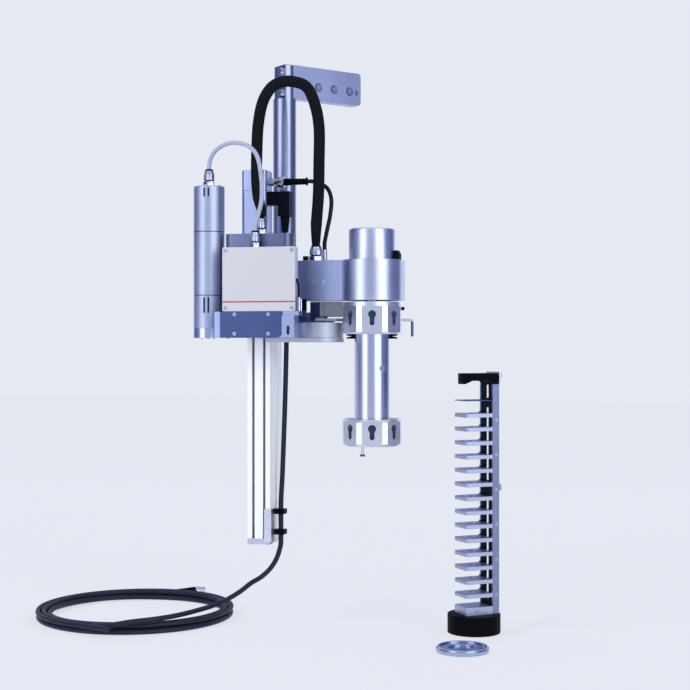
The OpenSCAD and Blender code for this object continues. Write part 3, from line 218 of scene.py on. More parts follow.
def tube(name, path, radius, sides=20, side=(0, 1, 0)):
    """Path point + radius(s, angle) * (u cos angle + v sin angle); radius in mm, path in drawing mm."""
    path = np.asarray(path, float)
    t = np.gradient(path, axis=0)
    t /= np.linalg.norm(t, axis=1)[:, None]
    u = np.cross(np.asarray(side, float), t)
    u /= np.linalg.norm(u, axis=1)[:, None]
    v = np.cross(t, u)
    s = run_length(path)[:, None]
    angle = (np.arange(sides) / sides * 2 * np.pi)[None, :]
    r = radius(s, angle) if callable(radius) else np.full((len(path), sides), float(radius))
    r = np.broadcast_to(r, (len(path), sides))[..., None]
    ring = u[:, None] * np.cos(angle)[..., None] + v[:, None] * np.sin(angle)[..., None]
    uv = np.stack(np.broadcast_arrays(angle / (2 * np.pi), s / 10), -1)
    return shade(grid_mesh(name, placed(path[:, None] + r * ring), uv=uv), 50)


# %% [markdown]
# The data cable leaves the arm's underside, runs down behind the carriage and through
# two clips, and ends in a flat coil on the floor. It is about 5 mm thick, a shielded
# cable with a matte PVC jacket. The coil is a spiral: its radius shrinks and grows again
# by one pitch a turn, and halfway the turns climb onto the first layer. The tail leaves
# the spiral straight on and rises to the middle of the plug.

# %% The data cable's path
CORD = 5.3  # thickness of the cable
COIL_MIDDLE = np.array([-269.0, 29.0])
COIL_OUTER = 107  # radius of the outermost turn
COIL_PITCH = 6.3
LAYER = 6  # height of the second layer above the first
TAIL = 60  # the straight end that carries the plug
PLUG_MIDDLE = 5  # height of the plug's axis above the floor
PER_TURN = 72  # points round one turn
turns, start = 4.38, 118.0
t = np.linspace(0, turns, int(turns * PER_TURN) + 1)
angle = np.radians(start + 360 * t)
r = COIL_OUTER - COIL_PITCH * (turns / 2 - np.abs(t - turns / 2))
climb = np.clip((t - turns / 2) * 2 + 0.5, 0, 1)
coil_x = COIL_MIDDLE[0] + r * np.cos(angle)
coil_y = COIL_MIDDLE[1] + r * np.sin(angle)
coil = np.stack([coil_x, coil_y, FLOOR + CORD / 2 + LAYER * climb], 1)
way = np.array([math.sin(math.radians(start)), -math.cos(math.radians(start)), 0])
lift = PLUG_MIDDLE - CORD / 2
tail_steps = [(1, lift), (0.88, lift), (0.6, lift * 0.6), (0.3, 0)]
tail = [coil[0] + way * TAIL * share + [0, 0, up] for share, up in tail_steps]
cable_route = [
    [-276, -79, -573], [-256, -80, -571], [-236, -74, -568], [-216, -60, -567], [-200, -40, -566.5],
    [-188, -14, -566], [-178, 12, -565], [-167, 30, -561], [-154, 37, -553], [-141, 36, -543],
    [-128, 30, -535], [-115, 20, -524], [-106, 13, -512], [-101, 9, -500], [-99.6, 8, -490],
    [-99.6, 8, -452], [-98.5, 10, -420], [-97, 14, -350], [-96, 16, -290], [-95.5, 14, -272],
    [-93.5, 7, -256], [-93, 4, -248], [-93, 4, -240.4],
]
rise = smooth(np.vstack([coil[-1:], coil[-1] + (coil[-1] - coil[-2]) * 5, cable_route]), 6)
data_path = np.vstack([smooth(np.vstack([tail, coil[:1]]), 4)[:-1], coil[:-1], rise])[::-1]
data_length = run_length(data_path)[-1] / 1000
data_cable = tube("data_cable", data_path, CORD / 2 - 0.02, 16, side=(0.05, 1, 0.12))
print("data cable", round(data_length, 3), "m long")

# %% [markdown]
# The cable's plug lies beside the coil: a tapered rubber boot, a knurled metal ring
# and a hollow sleeve. A profile of radii and heights, turned round an axis, gives
# each of them; the knurl is a ripple of the radius in angle and height.

# %% Turning a profile round an axis


def upright(x, y, z):
    """Frame at a place of the drawing, its axes along the drawing's."""
    return [x, y, z], [1, 0, 0], [0, 1, 0], [0, 0, 1]


def on_axis_x(x, y, z):
    """Frame at a place of the drawing whose z runs along the drawing's +x."""
    return [x, y, z], [0, 1, 0], [0, 0, 1], [1, 0, 0]


def turned(name, profile, sides, ripple=None, frame_at=upright(0, 0, 0), hollow=False):
    """Profile rows (radius, height) turned about z, then carried by frame_at (origin, x, y, z axes)."""
    profile = np.asarray(profile, float)
    angle = (np.arange(sides) / sides * 2 * np.pi)[None, :]
    radius, height = profile[:, :1], profile[:, 1:]
    r = radius * np.ones_like(angle)
    if ripple is not None:
        r = r + ripple(height, angle) * (radius > 0.01)
    points = np.stack([r * np.cos(angle), r * np.sin(angle), height + 0 * angle], -1)
    origin, x, y, z = frame_at
    points = np.asarray(origin, float) + points @ np.array([x, y, z], float)
    return shade(grid_mesh(name, placed(points), wrap_rows=hollow), 28)


BOOT = 21  # length of the boot
RIBBED = 14  # length of its ribbed stretch
RIB_PITCH = 2.6
GRIP = (21.4, 25)  # where the sleeve is knurled
across = np.array([math.cos(math.radians(start)), math.sin(math.radians(start)), 0])
plug_frame = (data_path[-1], across, [0, 0, 1], way)
boot_h = np.linspace(0, BOOT, 64)
ribs = 0.25 * (np.sin(boot_h * 2 * np.pi / RIB_PITCH) > 0.3) * (boot_h < RIBBED)
boot_r = 3.2 + 1.75 * boot_h / BOOT - ribs
boot_profile = np.vstack([[0, 0], np.c_[boot_r, boot_h], [0, BOOT]])
plug_boot = turned("plug_boot_ribbed", boot_profile, 48, frame_at=plug_frame)


def knurl(h, a):
    """Forty ridges, 0.16 mm high, along the grip."""
    return 0.16 * np.cos(40 * a) * ((h > GRIP[0]) & (h < GRIP[1]))


plug_profile = [
    [4.1, BOOT], [4.7, BOOT], [4.85, GRIP[0]], [4.85, GRIP[1]], [4.6, 25.5], [4.25, 25.6], [4.25, 32.2],
    [4.0, 32.5], [3.5, 32.5], [3.5, 25.8], [3.5, 25.6], [0.9, 25.6], [0.9, 21.2],
]
plug = turned("cable_plug_sleeve", plug_profile, 120, knurl, plug_frame, hollow=True)
print("boot and plug end at", placed(data_path[-1]).round(3))

# %% [markdown]
# Three thinner leads and the braided hose complete the cables. Their two ends are held,
# so each follows a few chosen points. The hose is a bundle of wires in a sleeve woven of
# plastic threads; its surface is a radius that ripples along two crossing spirals. The
# threads are drawn coarser than the real ones, so that they show in the picture.

# %% Thin leads
sensor_path = smooth([
    [-72.5, 14, -113.8], [-67.5, 14, -113.8], [-59, 14, -116], [-50, 13, -122.5], [-46, 12, -134],
    [-47, 11, -150], [-50, 9.5, -166], [-52.3, 8.7, -178], [-52.5, 8.6, -182], [-52.5, 8.6, -186.5],
], 10)
sensor_lead = tube("sensor_lead", sensor_path, 2.18)
control_path = smooth([
    [-167, -28, -103.7], [-166.6, -28, -97], [-163, -29, -88.5], [-156, -31, -82.5], [-146, -35, -79],
    [-134, -39, -78.5], [-120, -43, -83], [-109.7, -46, -94], [-104.8, -48, -115], [-104.3, -48, -138],
    [-108.5, -48, -155], [-111.2, -48, -164], [-111.3, -48, -170],
], 10)
control_lead = tube("control_lead", control_path, 2.22, 24)
probe_path = smooth([
    [-68.2, -48, -220], [-67.2, -48, -220.5], [-65.7, -48, -226], [-65.5, -48, -232], [-65.5, -48, -237.5],
], 8)
probe_lead = tube("probe_lead", probe_path, 1.28, 14)
for lead_path in (sensor_path, control_path, probe_path):
    print("lead", round(run_length(lead_path)[-1]), "mm long")

# %% Braided hose
hose_path = smooth([
    [-59.6, 0, -182.5], [-59.6, 0, -178], [-59.2, 0, -160], [-57, 0, -130], [-56.3, 0, -95], [-56, -1, -60],
    [-60, -3, -36], [-68, -4, -18.5], [-80, -6, -12.5], [-93, -8, -12], [-105, -10, -18],
    [-113.5, -12.5, -33], [-117.5, -15, -55], [-118.5, -17, -80], [-118, -20, -110], [-115.5, -23, -132],
    [-111.6, -25, -146], [-111.3, -25, -154],
], 46)
hose_length = run_length(hose_path)[-1]
NECK = 4.0  # radius where a gland holds the sleeve
SWELL = 1.85  # what the full sleeve has more
NECK_RUN = 22  # length over which it swells
THREADS = 12  # threads each way round
THREAD_SLOPE = 1.9  # how fast they wind, in radians a millimetre
THREAD_HEIGHT = 0.13


def braid(s, a):
    """A neck at each end that swells to the full sleeve, plus two families of threads that cross."""
    end = np.minimum(s, hose_length - s)
    sleeve = NECK + SWELL * np.clip(end / NECK_RUN, 0, 1) ** 0.8
    weave = np.cos(THREADS * a + s * THREAD_SLOPE) * np.cos(THREADS * a - s * THREAD_SLOPE)
    return sleeve + THREAD_HEIGHT * weave


braided_hose = tube("braided_sleeve", hose_path, braid, 72)
print("hose", round(hose_length), "mm of sleeve")

# %% [markdown]
# ## Finishes
# A finish starts from what the surface is: bead-blasted and anodised aluminium, turned
# aluminium, nickel plate, enamel, moulded plastic, PVC. One function adds a node with
# its settings and links, another turns sRGB hex values to linear colours. In most
# finishes one fine pattern does two jobs: it makes the gloss uneven and stands up as
# tiny bumps. The Mix node has several sockets of one name, so its colours are reached
# by their numbers.

# %% Nodes and colours
COLOUR_A, COLOUR_B, COLOUR_OUT = 6, 7, 2


def linear(hexcode):
    """sRGB hex -> linear colour."""
    c = np.array([int(hexcode[k : k + 2], 16) / 255 for k in (1, 3, 5)])
    return (*np.where(c <= 0.04045, c / 12.92, ((c + 0.055) / 1.055) ** 2.4), 1.0)


def add(tree, kind, links=(), **settings):
    """Adds a node; settings name attributes or input sockets, links are (output, input) pairs."""
    node = tree.nodes.new(kind)
    for key, value in settings.items():
        if hasattr(node, key):
            setattr(node, key, value)
        else:
            node.inputs[key.replace("_", " ")].default_value = value
    for source, socket in links:
        tree.links.new(source, node.inputs[socket])
    return node


def finish(name, base, metallic, roughness, **sockets):
    """A new material with one Principled surface; returns it with its tree and shader."""
    m = bpy.data.materials.new(name)
    m.use_nodes = True
    tree = m.node_tree
    shader = tree.nodes["Principled BSDF"]
    shader.inputs["Base Color"].default_value = linear(base)
    shader.inputs["Metallic"].default_value = metallic
    shader.inputs["Roughness"].default_value = roughness
    for key, value in sockets.items():
        shader.inputs[key.replace("_", " ")].default_value = value
    return m, tree, shader


def pattern_place(tree, scale=(1, 1, 1)):
    """Object coordinates, stretched per axis."""
    where = add(tree, "ShaderNodeTexCoord")
    place = add(tree, "ShaderNodeMapping", [(where.outputs["Object"], "Vector")], Scale=scale)
    return place.outputs["Vector"]


def texture(tree, shader, wear, low, high, relief=None, strength=0.0, height=0.0):
    """Roughness follows the wear pattern from low to high; the relief pattern rises by height metres."""
    spread = add(tree, "ShaderNodeMapRange", [(wear.outputs["Fac"], "Value")], To_Min=low, To_Max=high)
    tree.links.new(spread.outputs["Result"], shader.inputs["Roughness"])
    if relief is not None:
        rise = [(relief.outputs["Fac"], "Height")]
        bump = add(tree, "ShaderNodeBump", rise, Strength=strength, Distance=height)
        tree.links.new(bump.outputs["Normal"], shader.inputs["Normal"])


# %% [markdown]
# Bead blasting leaves a fine even grain, about 0.3 mm, that scatters light a little.
# It shows as a speckle in roughness and as tiny bumps; a broad, faint change of tone
# stands for handling and uneven anodising. The grain is drawn at 1 mm, so that it still
# shows in the picture. Turning on a lathe leaves rings instead, which pull each
# highlight into a band along the cylinder.

# %% Bead-blasted and turned aluminium
GRAIN = 1.0  # millimetres
PATCHES_A_METRE = 22.0
DARKEST = 0.8  # the darkest patch's share of the colour


def bead_blasted(name, base, roughness=0.36, metallic=1.0):
    """Anodised aluminium after blasting: metal with grain in bump, roughness and colour."""
    m, tree, shader = finish(name, base, metallic, roughness)
    place = pattern_place(tree)
    speck = add(tree, "ShaderNodeTexNoise", [(place, "Vector")], Scale=1000 / GRAIN, Detail=2.0)
    broad = add(tree, "ShaderNodeTexNoise", [(place, "Vector")], Scale=PATCHES_A_METRE, Detail=3.0)
    texture(tree, shader, speck, roughness - 0.07, roughness + 0.09, speck, 0.5, 0.00008)
    colour = linear(base)
    darker = tuple(c * DARKEST for c in colour[:3]) + (1,)
    patterns = [(broad.outputs["Fac"], 0), (speck.outputs["Fac"], 1)]
    both = add(tree, "ShaderNodeMath", patterns, operation="ADD")
    mottle = add(tree, "ShaderNodeMapRange", [(both.outputs[0], "Value")], From_Min=0.7, From_Max=1.3)
    mixed = add(tree, "ShaderNodeMix", [(mottle.outputs["Result"], "Factor")], data_type="RGBA")
    mixed.inputs[COLOUR_A].default_value = darker
    mixed.inputs[COLOUR_B].default_value = colour
    tree.links.new(mixed.outputs[COLOUR_OUT], shader.inputs["Base Color"])
    return m


def turned_metal(name, base, roughness, pitch=0.35):
    """Turned on a lathe: rings square to the upright axis, a fine pitch apart."""
    m, tree, shader = finish(name, base, 1.0, roughness)
    place = pattern_place(tree, (30, 30, 1000 / pitch))
    rings = add(tree, "ShaderNodeTexNoise", [(place, "Vector")], Scale=1.0, Detail=2.0)
    speck = add(tree, "ShaderNodeTexNoise", [(pattern_place(tree), "Vector")], Scale=1500.0, Detail=1.0)
    texture(tree, shader, speck, roughness - 0.05, roughness + 0.08, rings, 0.18, 0.00004)
    return m


# Flat plates mirror one tone at a time, so each keeps a tone of its own: lighter and darker copies of one
# blasted aluminium, each base tone painting in the light its plate mirrors.
blasted = bead_blasted("blasted_aluminium", "#c9cfe4")
blasted_pale = bead_blasted("blasted_aluminium_pale", "#dfe3f2", 0.32)
plate_blasted = bead_blasted("blasted_plate", "#b2bde0", 0.34)
wall_blasted = bead_blasted("blasted_wall_plate", "#c6d0f0", 0.36)
# Round housings show both soft boxes as broad bands with a soft, grainy edge. Their base tones, too, are
# lighter and darker copies that paint in how lit each housing looks.
can_blasted = bead_blasted("blasted_motor_can", "#dde3f8", 0.32)
nose_blasted = bead_blasted("blasted_nose", "#d6dcf2", 0.32)
motor_blasted = bead_blasted("blasted_gear_motor", "#c6cee8", 0.44)
collar_blasted = bead_blasted("blasted_collar", "#eceffa", 0.3, metallic=0.95)
# Dyed anodising takes the shine off: the cover and the magazine read as blue before they read as metal. The
# carriage block is only given a darker tone.
block_anodised = bead_blasted("anodised_block", "#737c99", 0.36)
cover_anodised = bead_blasted("anodised_cover", "#556493", 0.42)
frame_anodised = bead_blasted("anodised_magazine", "#8490b4", 0.36)
drum_bright = bead_blasted("milled_drum", "#cacfe0", 0.46, metallic=0.7)
# Turned cylinders have the crispest bands.
column_turned = turned_metal("turned_column", "#a3a9c3", 0.28)
turned_bright = turned_metal("turned_aluminium", "#ced4ea", 0.22)
turned_ring = turned_metal("turned_ring", "#aeb8da", 0.24)
print(len(bpy.data.materials), "aluminium finishes")

# %% [markdown]
# The profile is extruded and naturally anodised: pale, with lines along its length and
# hardly any gloss. Nickel plate on glands and screws is bright and smooth. The lid and
# the pick-up blade are enamelled in a pale grey. Black polyamide and ABS are moulded:
# they stay near black and only their edges catch a dull light.

# %% Profile, nickel and enamel


def drawn(name, base, roughness, metallic):
    """Extruded aluminium: fine lines along z, 0.8 mm apart across."""
    m, tree, shader = finish(name, base, metallic, roughness)
    place = pattern_place(tree, (1250, 1250, 6))
    lines = add(tree, "ShaderNodeTexNoise", [(place, "Vector")], Scale=1.0, Detail=2.0)
    texture(tree, shader, lines, roughness - 0.06, roughness + 0.08, lines, 0.15, 0.00005)
    return m


def plated(name, base, roughness):
    """Nickel plate: smooth metal with faint smudges 3 mm across."""
    m, tree, shader = finish(name, base, 1.0, roughness)
    smudge = add(tree, "ShaderNodeTexNoise", [(pattern_place(tree), "Vector")], Scale=330.0, Detail=3.0)
    texture(tree, shader, smudge, roughness - 0.06, roughness + 0.12)
    return m


def enamel(name, base, roughness=0.34, grain=0.9, gloss=0.5):
    """Powder coat or moulded plastic: a fine orange peel under a soft gloss."""
    m, tree, shader = finish(name, base, 0.0, roughness, Specular_IOR_Level=gloss)
    place = pattern_place(tree)
    peel = add(tree, "ShaderNodeTexNoise", [(place, "Vector")], Scale=1000 / grain, Detail=2.0)
    texture(tree, shader, peel, roughness - 0.05, roughness + 0.07, peel, 0.3, 0.00004)
    return m


profile_drawn = drawn("extruded_profile", "#fbfcff", 0.42, 0.3)
shelf_drawn = drawn("milled_shelf", "#b0b7d2", 0.36, 0.85)
nickel = plated("nickel_plate", "#c0c6d8", 0.1)
screw_nickel = plated("dull_nickel", "#a3a9c0", 0.32)
steel = plated("stainless_steel", "#cfd4e2", 0.2)
lid_enamel = enamel("grey_enamel", "#cdcfd8")
box_enamel = enamel("box_enamel", "#b9bed6")
black_moulded = enamel("black_polyamide", "#090a10", 0.5, 1.1, gloss=0.04)
black_gloss = enamel("black_abs", "#0b0d18", 0.5, 1.6, gloss=0.06)
# Painted shade for the floors of the slots round the swing motor.
slot_shade_paint = enamel("slot_painted_shade", "#2b3350", 0.7, gloss=0.2)
# Painted shade for the walls inside the collars' keyholes.
keyhole_shade = enamel("keyhole_back", "#7a84a6", 0.7, gloss=0.2)
dark_steel = plated("blackened_steel", "#4a5068", 0.3)
red_lacquer = enamel("red_lacquer", "#be5046", 0.4)
print(len(bpy.data.materials), "finishes so far")

# %% [markdown]
# Cable jackets are extruded PVC or polyurethane: soft gloss and very fine lines round
# the cable where the tool left them. The sleeve of the hose is woven polyester. Both
# patterns follow the cable, so they read its own UV map: u runs once round, v goes up
# by one every 10 mm.

# %% Jackets and woven sleeve


def jacket(name, base, roughness, gloss=0.25, waves=14.0):
    """Extruded jacket: shallow waves along the cable, read from its UV map."""
    m, tree, shader = finish(name, base, 0.0, roughness, Specular_IOR_Level=gloss)
    uv = add(tree, "ShaderNodeUVMap", uv_map="along")
    place = add(tree, "ShaderNodeMapping", [(uv.outputs["UV"], "Vector")], Scale=(3, waves, 1))
    wave = add(tree, "ShaderNodeTexNoise", [(place.outputs["Vector"], "Vector")], Scale=1.0, Detail=3.0)
    texture(tree, shader, wave, roughness - 0.08, roughness + 0.12, wave, 0.2, 0.0001)
    return m


def woven(name, base, light, threads=24.0, per_cm=5.0):
    """Braid: two families of spirals; where both crests meet the thread is lighter."""
    m, tree, shader = finish(name, base, 0.0, 0.7, Specular_IOR_Level=0.12)
    uv = add(tree, "ShaderNodeUVMap", uv_map="along")
    waves = []
    for way_round in (1, -1):
        spiral = (way_round * threads / 2, per_cm, 1)
        place = add(tree, "ShaderNodeMapping", [(uv.outputs["UV"], "Vector")], Scale=spiral)
        waves.append(add(tree, "ShaderNodeTexWave", [(place.outputs["Vector"], "Vector")], Scale=0.32,
                         bands_direction="DIAGONAL", wave_profile="SIN"))
    crests = [(wave.outputs["Fac"], number) for number, wave in enumerate(waves)]
    both = add(tree, "ShaderNodeMath", crests, operation="MULTIPLY")
    mixed = add(tree, "ShaderNodeMix", [(both.outputs[0], "Factor")], data_type="RGBA")
    mixed.inputs[COLOUR_A].default_value = linear(base)
    mixed.inputs[COLOUR_B].default_value = linear(light)
    tree.links.new(mixed.outputs[COLOUR_OUT], shader.inputs["Base Color"])
    bump = add(tree, "ShaderNodeBump", [(both.outputs[0], "Height")], Strength=0.5, Distance=0.0003)
    tree.links.new(bump.outputs["Normal"], shader.inputs["Normal"])
    return m


data_jacket = jacket("data_cable_pvc", "#1a2138", 0.45)
black_jacket = jacket("black_cable_pur", "#0f1119", 0.4)
grey_jacket = jacket("grey_cable_pvc", "#a9b2d0", 0.36, gloss=0.5)
hose_weave = woven("woven_polyester", "#08090d", "#1c1e29")

# %% [markdown]
# Putting a piece in place takes three words: what it is made of, the body it moves
# with, and the solids it stands for.

# %% Dress a piece


def dress(obj, material, body, *stands_for, slot=None):
    """Gives a piece its finish, its body and the solids that it replaces."""
    obj.data.materials.clear()
    obj.data.materials.append(material)
    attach(obj, body)
    if stands_for:
        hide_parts(*stands_for)
    return obj


dress(data_cable, data_jacket, "frame", "main_cable", "cable_coil", slot="black_rubber")
dress(plug_boot, black_moulded, "frame", "plug_boot", slot="black_plastic")
dress(plug, nickel, "frame", "cable_plug", slot="steel")
placed([-93, 4, -240.4])
placed(data_path).tolist()
dress(sensor_lead, black_jacket, "frame", "sensor_cable", slot="black_rubber")
dress(control_lead, grey_jacket, "carriage", "control_cable", slot="grey_cable")
dress(probe_lead, black_jacket, "carriage", "probe_plug", slot="black_rubber")
braided_hose.data.materials.append(hose_weave)
placed([-66, 0, -100])
placed([-108, 0, -100])
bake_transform(braided_hose)
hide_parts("braided_hose")

# %% [markdown]
# ## Machined pieces
# Milled and cast pieces never have knife edges: each edge is broken by a few tenths of
# a millimetre, and that narrow chamfer catches the light. The solids have true sharp
# edges, so a copy of each is merged into one skin, its flat faces joined, and a bevel
# of the real width runs along every edge. The keyholes in the seven faces of the two
# collars are broken wider than the collars themselves, so there each edge has a weight.

# %% Broken edges on a copy of a solid
COLLARS = ("turret_head", "turret_foot")
COLLAR_FACE = 28.7  # from the axis to a flat face
KEYHOLE_REACH = 4.6  # from a face's middle to just past its keyhole
KEYHOLE_BREAK = 0.9
HEAD_KEYHOLES = (-273, -248)
FOOT_KEYHOLES = (-388, -364)
FACE_STEP = math.radians(360 / 7)


def keyhole_rim(x, y, z):
    """True in the middle of a collar's flat faces, off the collar's own ends: the keyholes' edges."""
    off = (math.atan2(y, x) - math.radians(CAMERA_SIDE) + FACE_STEP / 2) % FACE_STEP - FACE_STEP / 2
    reach = math.hypot(x, y)
    on_face = abs(reach * math.cos(off) - COLLAR_FACE) < 0.15
    in_middle = abs(reach * math.sin(off)) < KEYHOLE_REACH
    return on_face and in_middle and any(low < z < high for low, high in (HEAD_KEYHOLES, FOOT_KEYHOLES))


def broken_edges(node, width, material, slot):
    """Copy of a solid with merged vertices, joined flat faces and a bevel modifier of that width in mm."""
    collar = node in COLLARS
    limit = math.radians(20 if collar else 40)
    source = nodes[node]
    mesh = source.data.copy()
    mesh.name = node + "_finished"
    bm = bmesh.new()
    bm.from_mesh(mesh)
    bmesh.ops.remove_doubles(bm, verts=bm.verts, dist=2e-6)
    bmesh.ops.dissolve_limit(
        bm, angle_limit=math.radians(0.6), verts=bm.verts, edges=bm.edges, delimit={"NORMAL"}
    )
    for edge in bm.edges:
        edge.smooth = edge.calc_face_angle(0) < limit
    for face in bm.faces:
        face.smooth = True
    if collar:
        weight = bm.edges.layers.float.new("bevel_weight_edge")
        for edge in bm.edges:
            if edge.calc_face_angle(0) >= limit:
                middle = ((edge.verts[0].co + edge.verts[1].co) / 2 - Vector(AXIS)) * 1000
                edge[weight] = 1 if keyhole_rim(*middle) else width / KEYHOLE_BREAK
    bm.to_mesh(mesh)
    bm.free()
    mesh.materials.clear()
    mesh.materials.append(material)
    obj = bpy.data.objects.new(node + "_finished", mesh)
    bpy.context.scene.collection.objects.link(obj)
    bevel = obj.modifiers.new("broken edge", "BEVEL")
    bevel.width = (KEYHOLE_BREAK if collar else width) / 1000
    bevel.segments = 2
    bevel.limit_method = "WEIGHT" if collar else "ANGLE"
    bevel.angle_limit = limit
    bevel.harden_normals = True
    bevel.use_clamp_overlap = True
    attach(obj, source["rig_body"])
    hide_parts(node)
    return obj


machined = [
    ("mount_plate", 0.5, wall_blasted, "blue_paint"),
    ("column", 0.3, column_turned, "blue_anodised"),
    ("column_saddle", 0.5, wall_blasted, "blue_paint"),
    ("end_cap", 0.4, blasted, "aluminium"),
    ("motor_foot", 0.4, plate_blasted, "aluminium"),
    ("lift_motor", 0.4, plate_blasted, "aluminium"),
    ("arm_beam", 0.4, plate_blasted, "blue_paint"),
    ("nose_housing", 0.5, nose_blasted, "blue_paint"),
    ("cable_bracket", 0.3, blasted_pale, "aluminium"),
    ("carriage_block", 0.4, block_anodised, "blue_paint"),
    ("belt_housing", 0.5, plate_blasted, "blue_paint"),
    ("belt_cover", 0.4, cover_anodised, "blue_anodised"),
    ("bearing_plate", 0.4, drum_bright, "aluminium"),
    ("strain_bracket", 0.3, plate_blasted, "blue_paint"),
    ("swing_motor", 0.3, motor_blasted, "aluminium"),
    ("swing_gearbox", 0.3, motor_blasted, "aluminium"),
    ("turret_head", 0.4, collar_blasted, "aluminium"),
    ("turret_foot", 0.4, collar_blasted, "aluminium"),
    ("gripper_base", 0.4, cover_anodised, "blue_anodised"),
    ("gripper_body", 0.4, lid_enamel, "white_lid"),
    ("gripper_blade", 0.2, lid_enamel, "white_lid"),
    ("magazine_frame", 0.3, frame_anodised, "aluminium"),
    ("magazine_shelves", 0.25, shelf_drawn, "aluminium"),
    ("magazine_base", 0.7, black_moulded, "black_plastic"),
    ("magazine_handle", 0.8, black_moulded, "black_plastic"),
    ("magazine_back", 0.3, black_gloss, "black_plastic"),
    ("control_box", 0.3, box_enamel, "white_lid"),
    ("box_lid", 0.5, lid_enamel, "white_lid"),
    ("motor_plug", 1.0, black_gloss, "black_plastic"),
    ("motor_socket", 0.6, black_gloss, "black_plastic"),
    ("cable_clips", 0.5, black_moulded, "black_plastic"),
    ("seal_ring", 0.3, black_moulded, "black_rubber"),
]
finished = {name: broken_edges(name, width, material, slot) for name, width, material, slot in machined}
print(len(finished), "machined pieces with broken edges")

# %% [markdown]
# Some solids keep their own mesh and only get a better finish: small screws, pins and
# the profile.

# %% Finishes on the solids themselves
kept = {
    "axis_profile": profile_drawn,
    "slider": blasted,
    "drive_pulley": steel,
    "swing_drum": drum_bright,
    "frame_screws": steel,
    "arm_studs": steel,
    "carriage_screws": screw_nickel,
    "lid_stripe": red_lacquer,
    "arm_fittings": nickel,
    "turret_screws": steel,
    "magazine_screws": screw_nickel,
}
for name, material in kept.items():
    for material_slot in nodes[name].material_slots:
        material_slot.material = material
print(len(kept), "solids with a new finish")

# %% [markdown]
# Some pieces have two finishes: hollows get painted shade, a plate screwed on is pale. The
# faces are picked by the place of their middle in the drawing; where a finish ends in the
# middle of a face, the face is cut there first. The magazine stands turned, so places
# on it are measured along its own depth.

# %% A second finish on chosen faces


def paint(obj, material, chosen, cut=None):
    """Gives the material to all faces whose middle (x, y, z arrays in drawing mm) passes the test."""
    mesh = obj.data
    if cut is not None:
        point, normal = cut
        bm = bmesh.new()
        bm.from_mesh(mesh)
        whole = bm.verts[:] + bm.edges[:] + bm.faces[:]
        bmesh.ops.bisect_plane(bm, geom=whole, plane_co=placed(point), plane_no=normal)
        bm.to_mesh(mesh)
        bm.free()
    mesh.materials.append(material)
    middle = np.empty(len(mesh.polygons) * 3)
    mesh.polygons.foreach_get("center", middle)
    x, y, z = ((middle.reshape(-1, 3) - AXIS) * 1000).T
    number = np.empty(len(mesh.polygons), np.int32)
    mesh.polygons.foreach_get("material_index", number)
    picked = chosen(x, y, z)
    number[picked] = len(mesh.materials) - 1
    mesh.polygons.foreach_set("material_index", number)
    print(obj.name, material.name, int(picked.sum()), "faces")


def between(value, low, high):
    """True where the value lies between the two."""
    return (value > low) & (value < high)


SWING_MOTOR_X, SWING_MOTOR_Y = -167, -28
# Painted shade in hollows: the walls of the keyholes inside the collars, and the slots round the motor.
for collar, low, high in [("turret_head", -271, -250), ("turret_foot", *FOOT_KEYHOLES)]:
    paint(finished[collar], keyhole_shade,
          lambda x, y, z: between(np.hypot(x, y), 12, 25.6) & between(z, low, high))
# Painted shade on the slot floors of the swing motor and its gearbox.
for motor in ("swing_motor", "swing_gearbox"):
    paint(finished[motor], slot_shade_paint,
          lambda x, y, z: between(np.hypot(x - SWING_MOTOR_X, y - SWING_MOTOR_Y), 12, 15.7) & (z < -123.5))
# The belt housing's round end under the motor is turned.
paint(finished["belt_housing"], turned_bright, lambda x, y, z: (x < -152.5) & (z < -262))
# The gripper's left end gets painted shade in the cover's dark blue, and its blade has a dyed tip, bent
# down.
GRIPPER_SHADE_EDGE = -57.5
paint(finished["gripper_body"], cover_anodised, lambda x, y, z: x < GRIPPER_SHADE_EDGE,
      cut=([GRIPPER_SHADE_EDGE, 0, 0], (1, 0, 0)))
paint(finished["gripper_blade"], cover_anodised, lambda x, y, z: (x > 30) & (z < -261.2))
# Black among the small parts: the right fitting, the arm's stud and the index stud. The
# stop pin's head is blackened.
paint(nodes["arm_fittings"], black_moulded,
      lambda x, y, z: (x > -68.4) & (z > -251.1) & (np.abs(y + 21) < 2.3))
paint(nodes["arm_studs"], black_moulded, lambda x, y, z: x < -67)
paint(nodes["turret_screws"], black_moulded, lambda x, y, z: z > -252)
paint(nodes["turret_screws"], dark_steel, lambda x, y, z: z < -397.4)

# %% The magazine's top
MAGAZINE = np.array([100.7, 22.3, 0])
MAGAZINE_TURN = math.radians(37)
HANDLE_BACK = 24.3  # from the magazine's middle to the plate behind the handle
HANDLE_TOP = 267  # heights above the floor
GUIDE_PLATE = 238
backwards = np.array([math.cos(MAGAZINE_TURN), math.sin(MAGAZINE_TURN), 0])


def behind(x, y):
    """How far a place is behind the middle of the magazine."""
    return (x - MAGAZINE[0]) * backwards[0] + (y - MAGAZINE[1]) * backwards[1]


def on_back_plate(x, y, z):
    """Behind the handle, or above it on the plate's front."""
    depth = behind(x, y)
    return (depth > HANDLE_BACK + 0.05) | ((depth > HANDLE_BACK - 0.2) & (z > FLOOR + HANDLE_TOP))


paint(finished["magazine_handle"], blasted_pale, on_back_plate,
      cut=(MAGAZINE + HANDLE_BACK * backwards, backwards))
paint(finished["magazine_shelves"], cover_anodised, lambda x, y, z: z > FLOOR + GUIDE_PLATE)

# %% [markdown]
# ## Turned pieces
# Motor, turret tube and sample ring are bodies of revolution. Their profiles are
# drawn again here with many more steps round than the solids have, with the chamfers
# and grooves of the real ones.

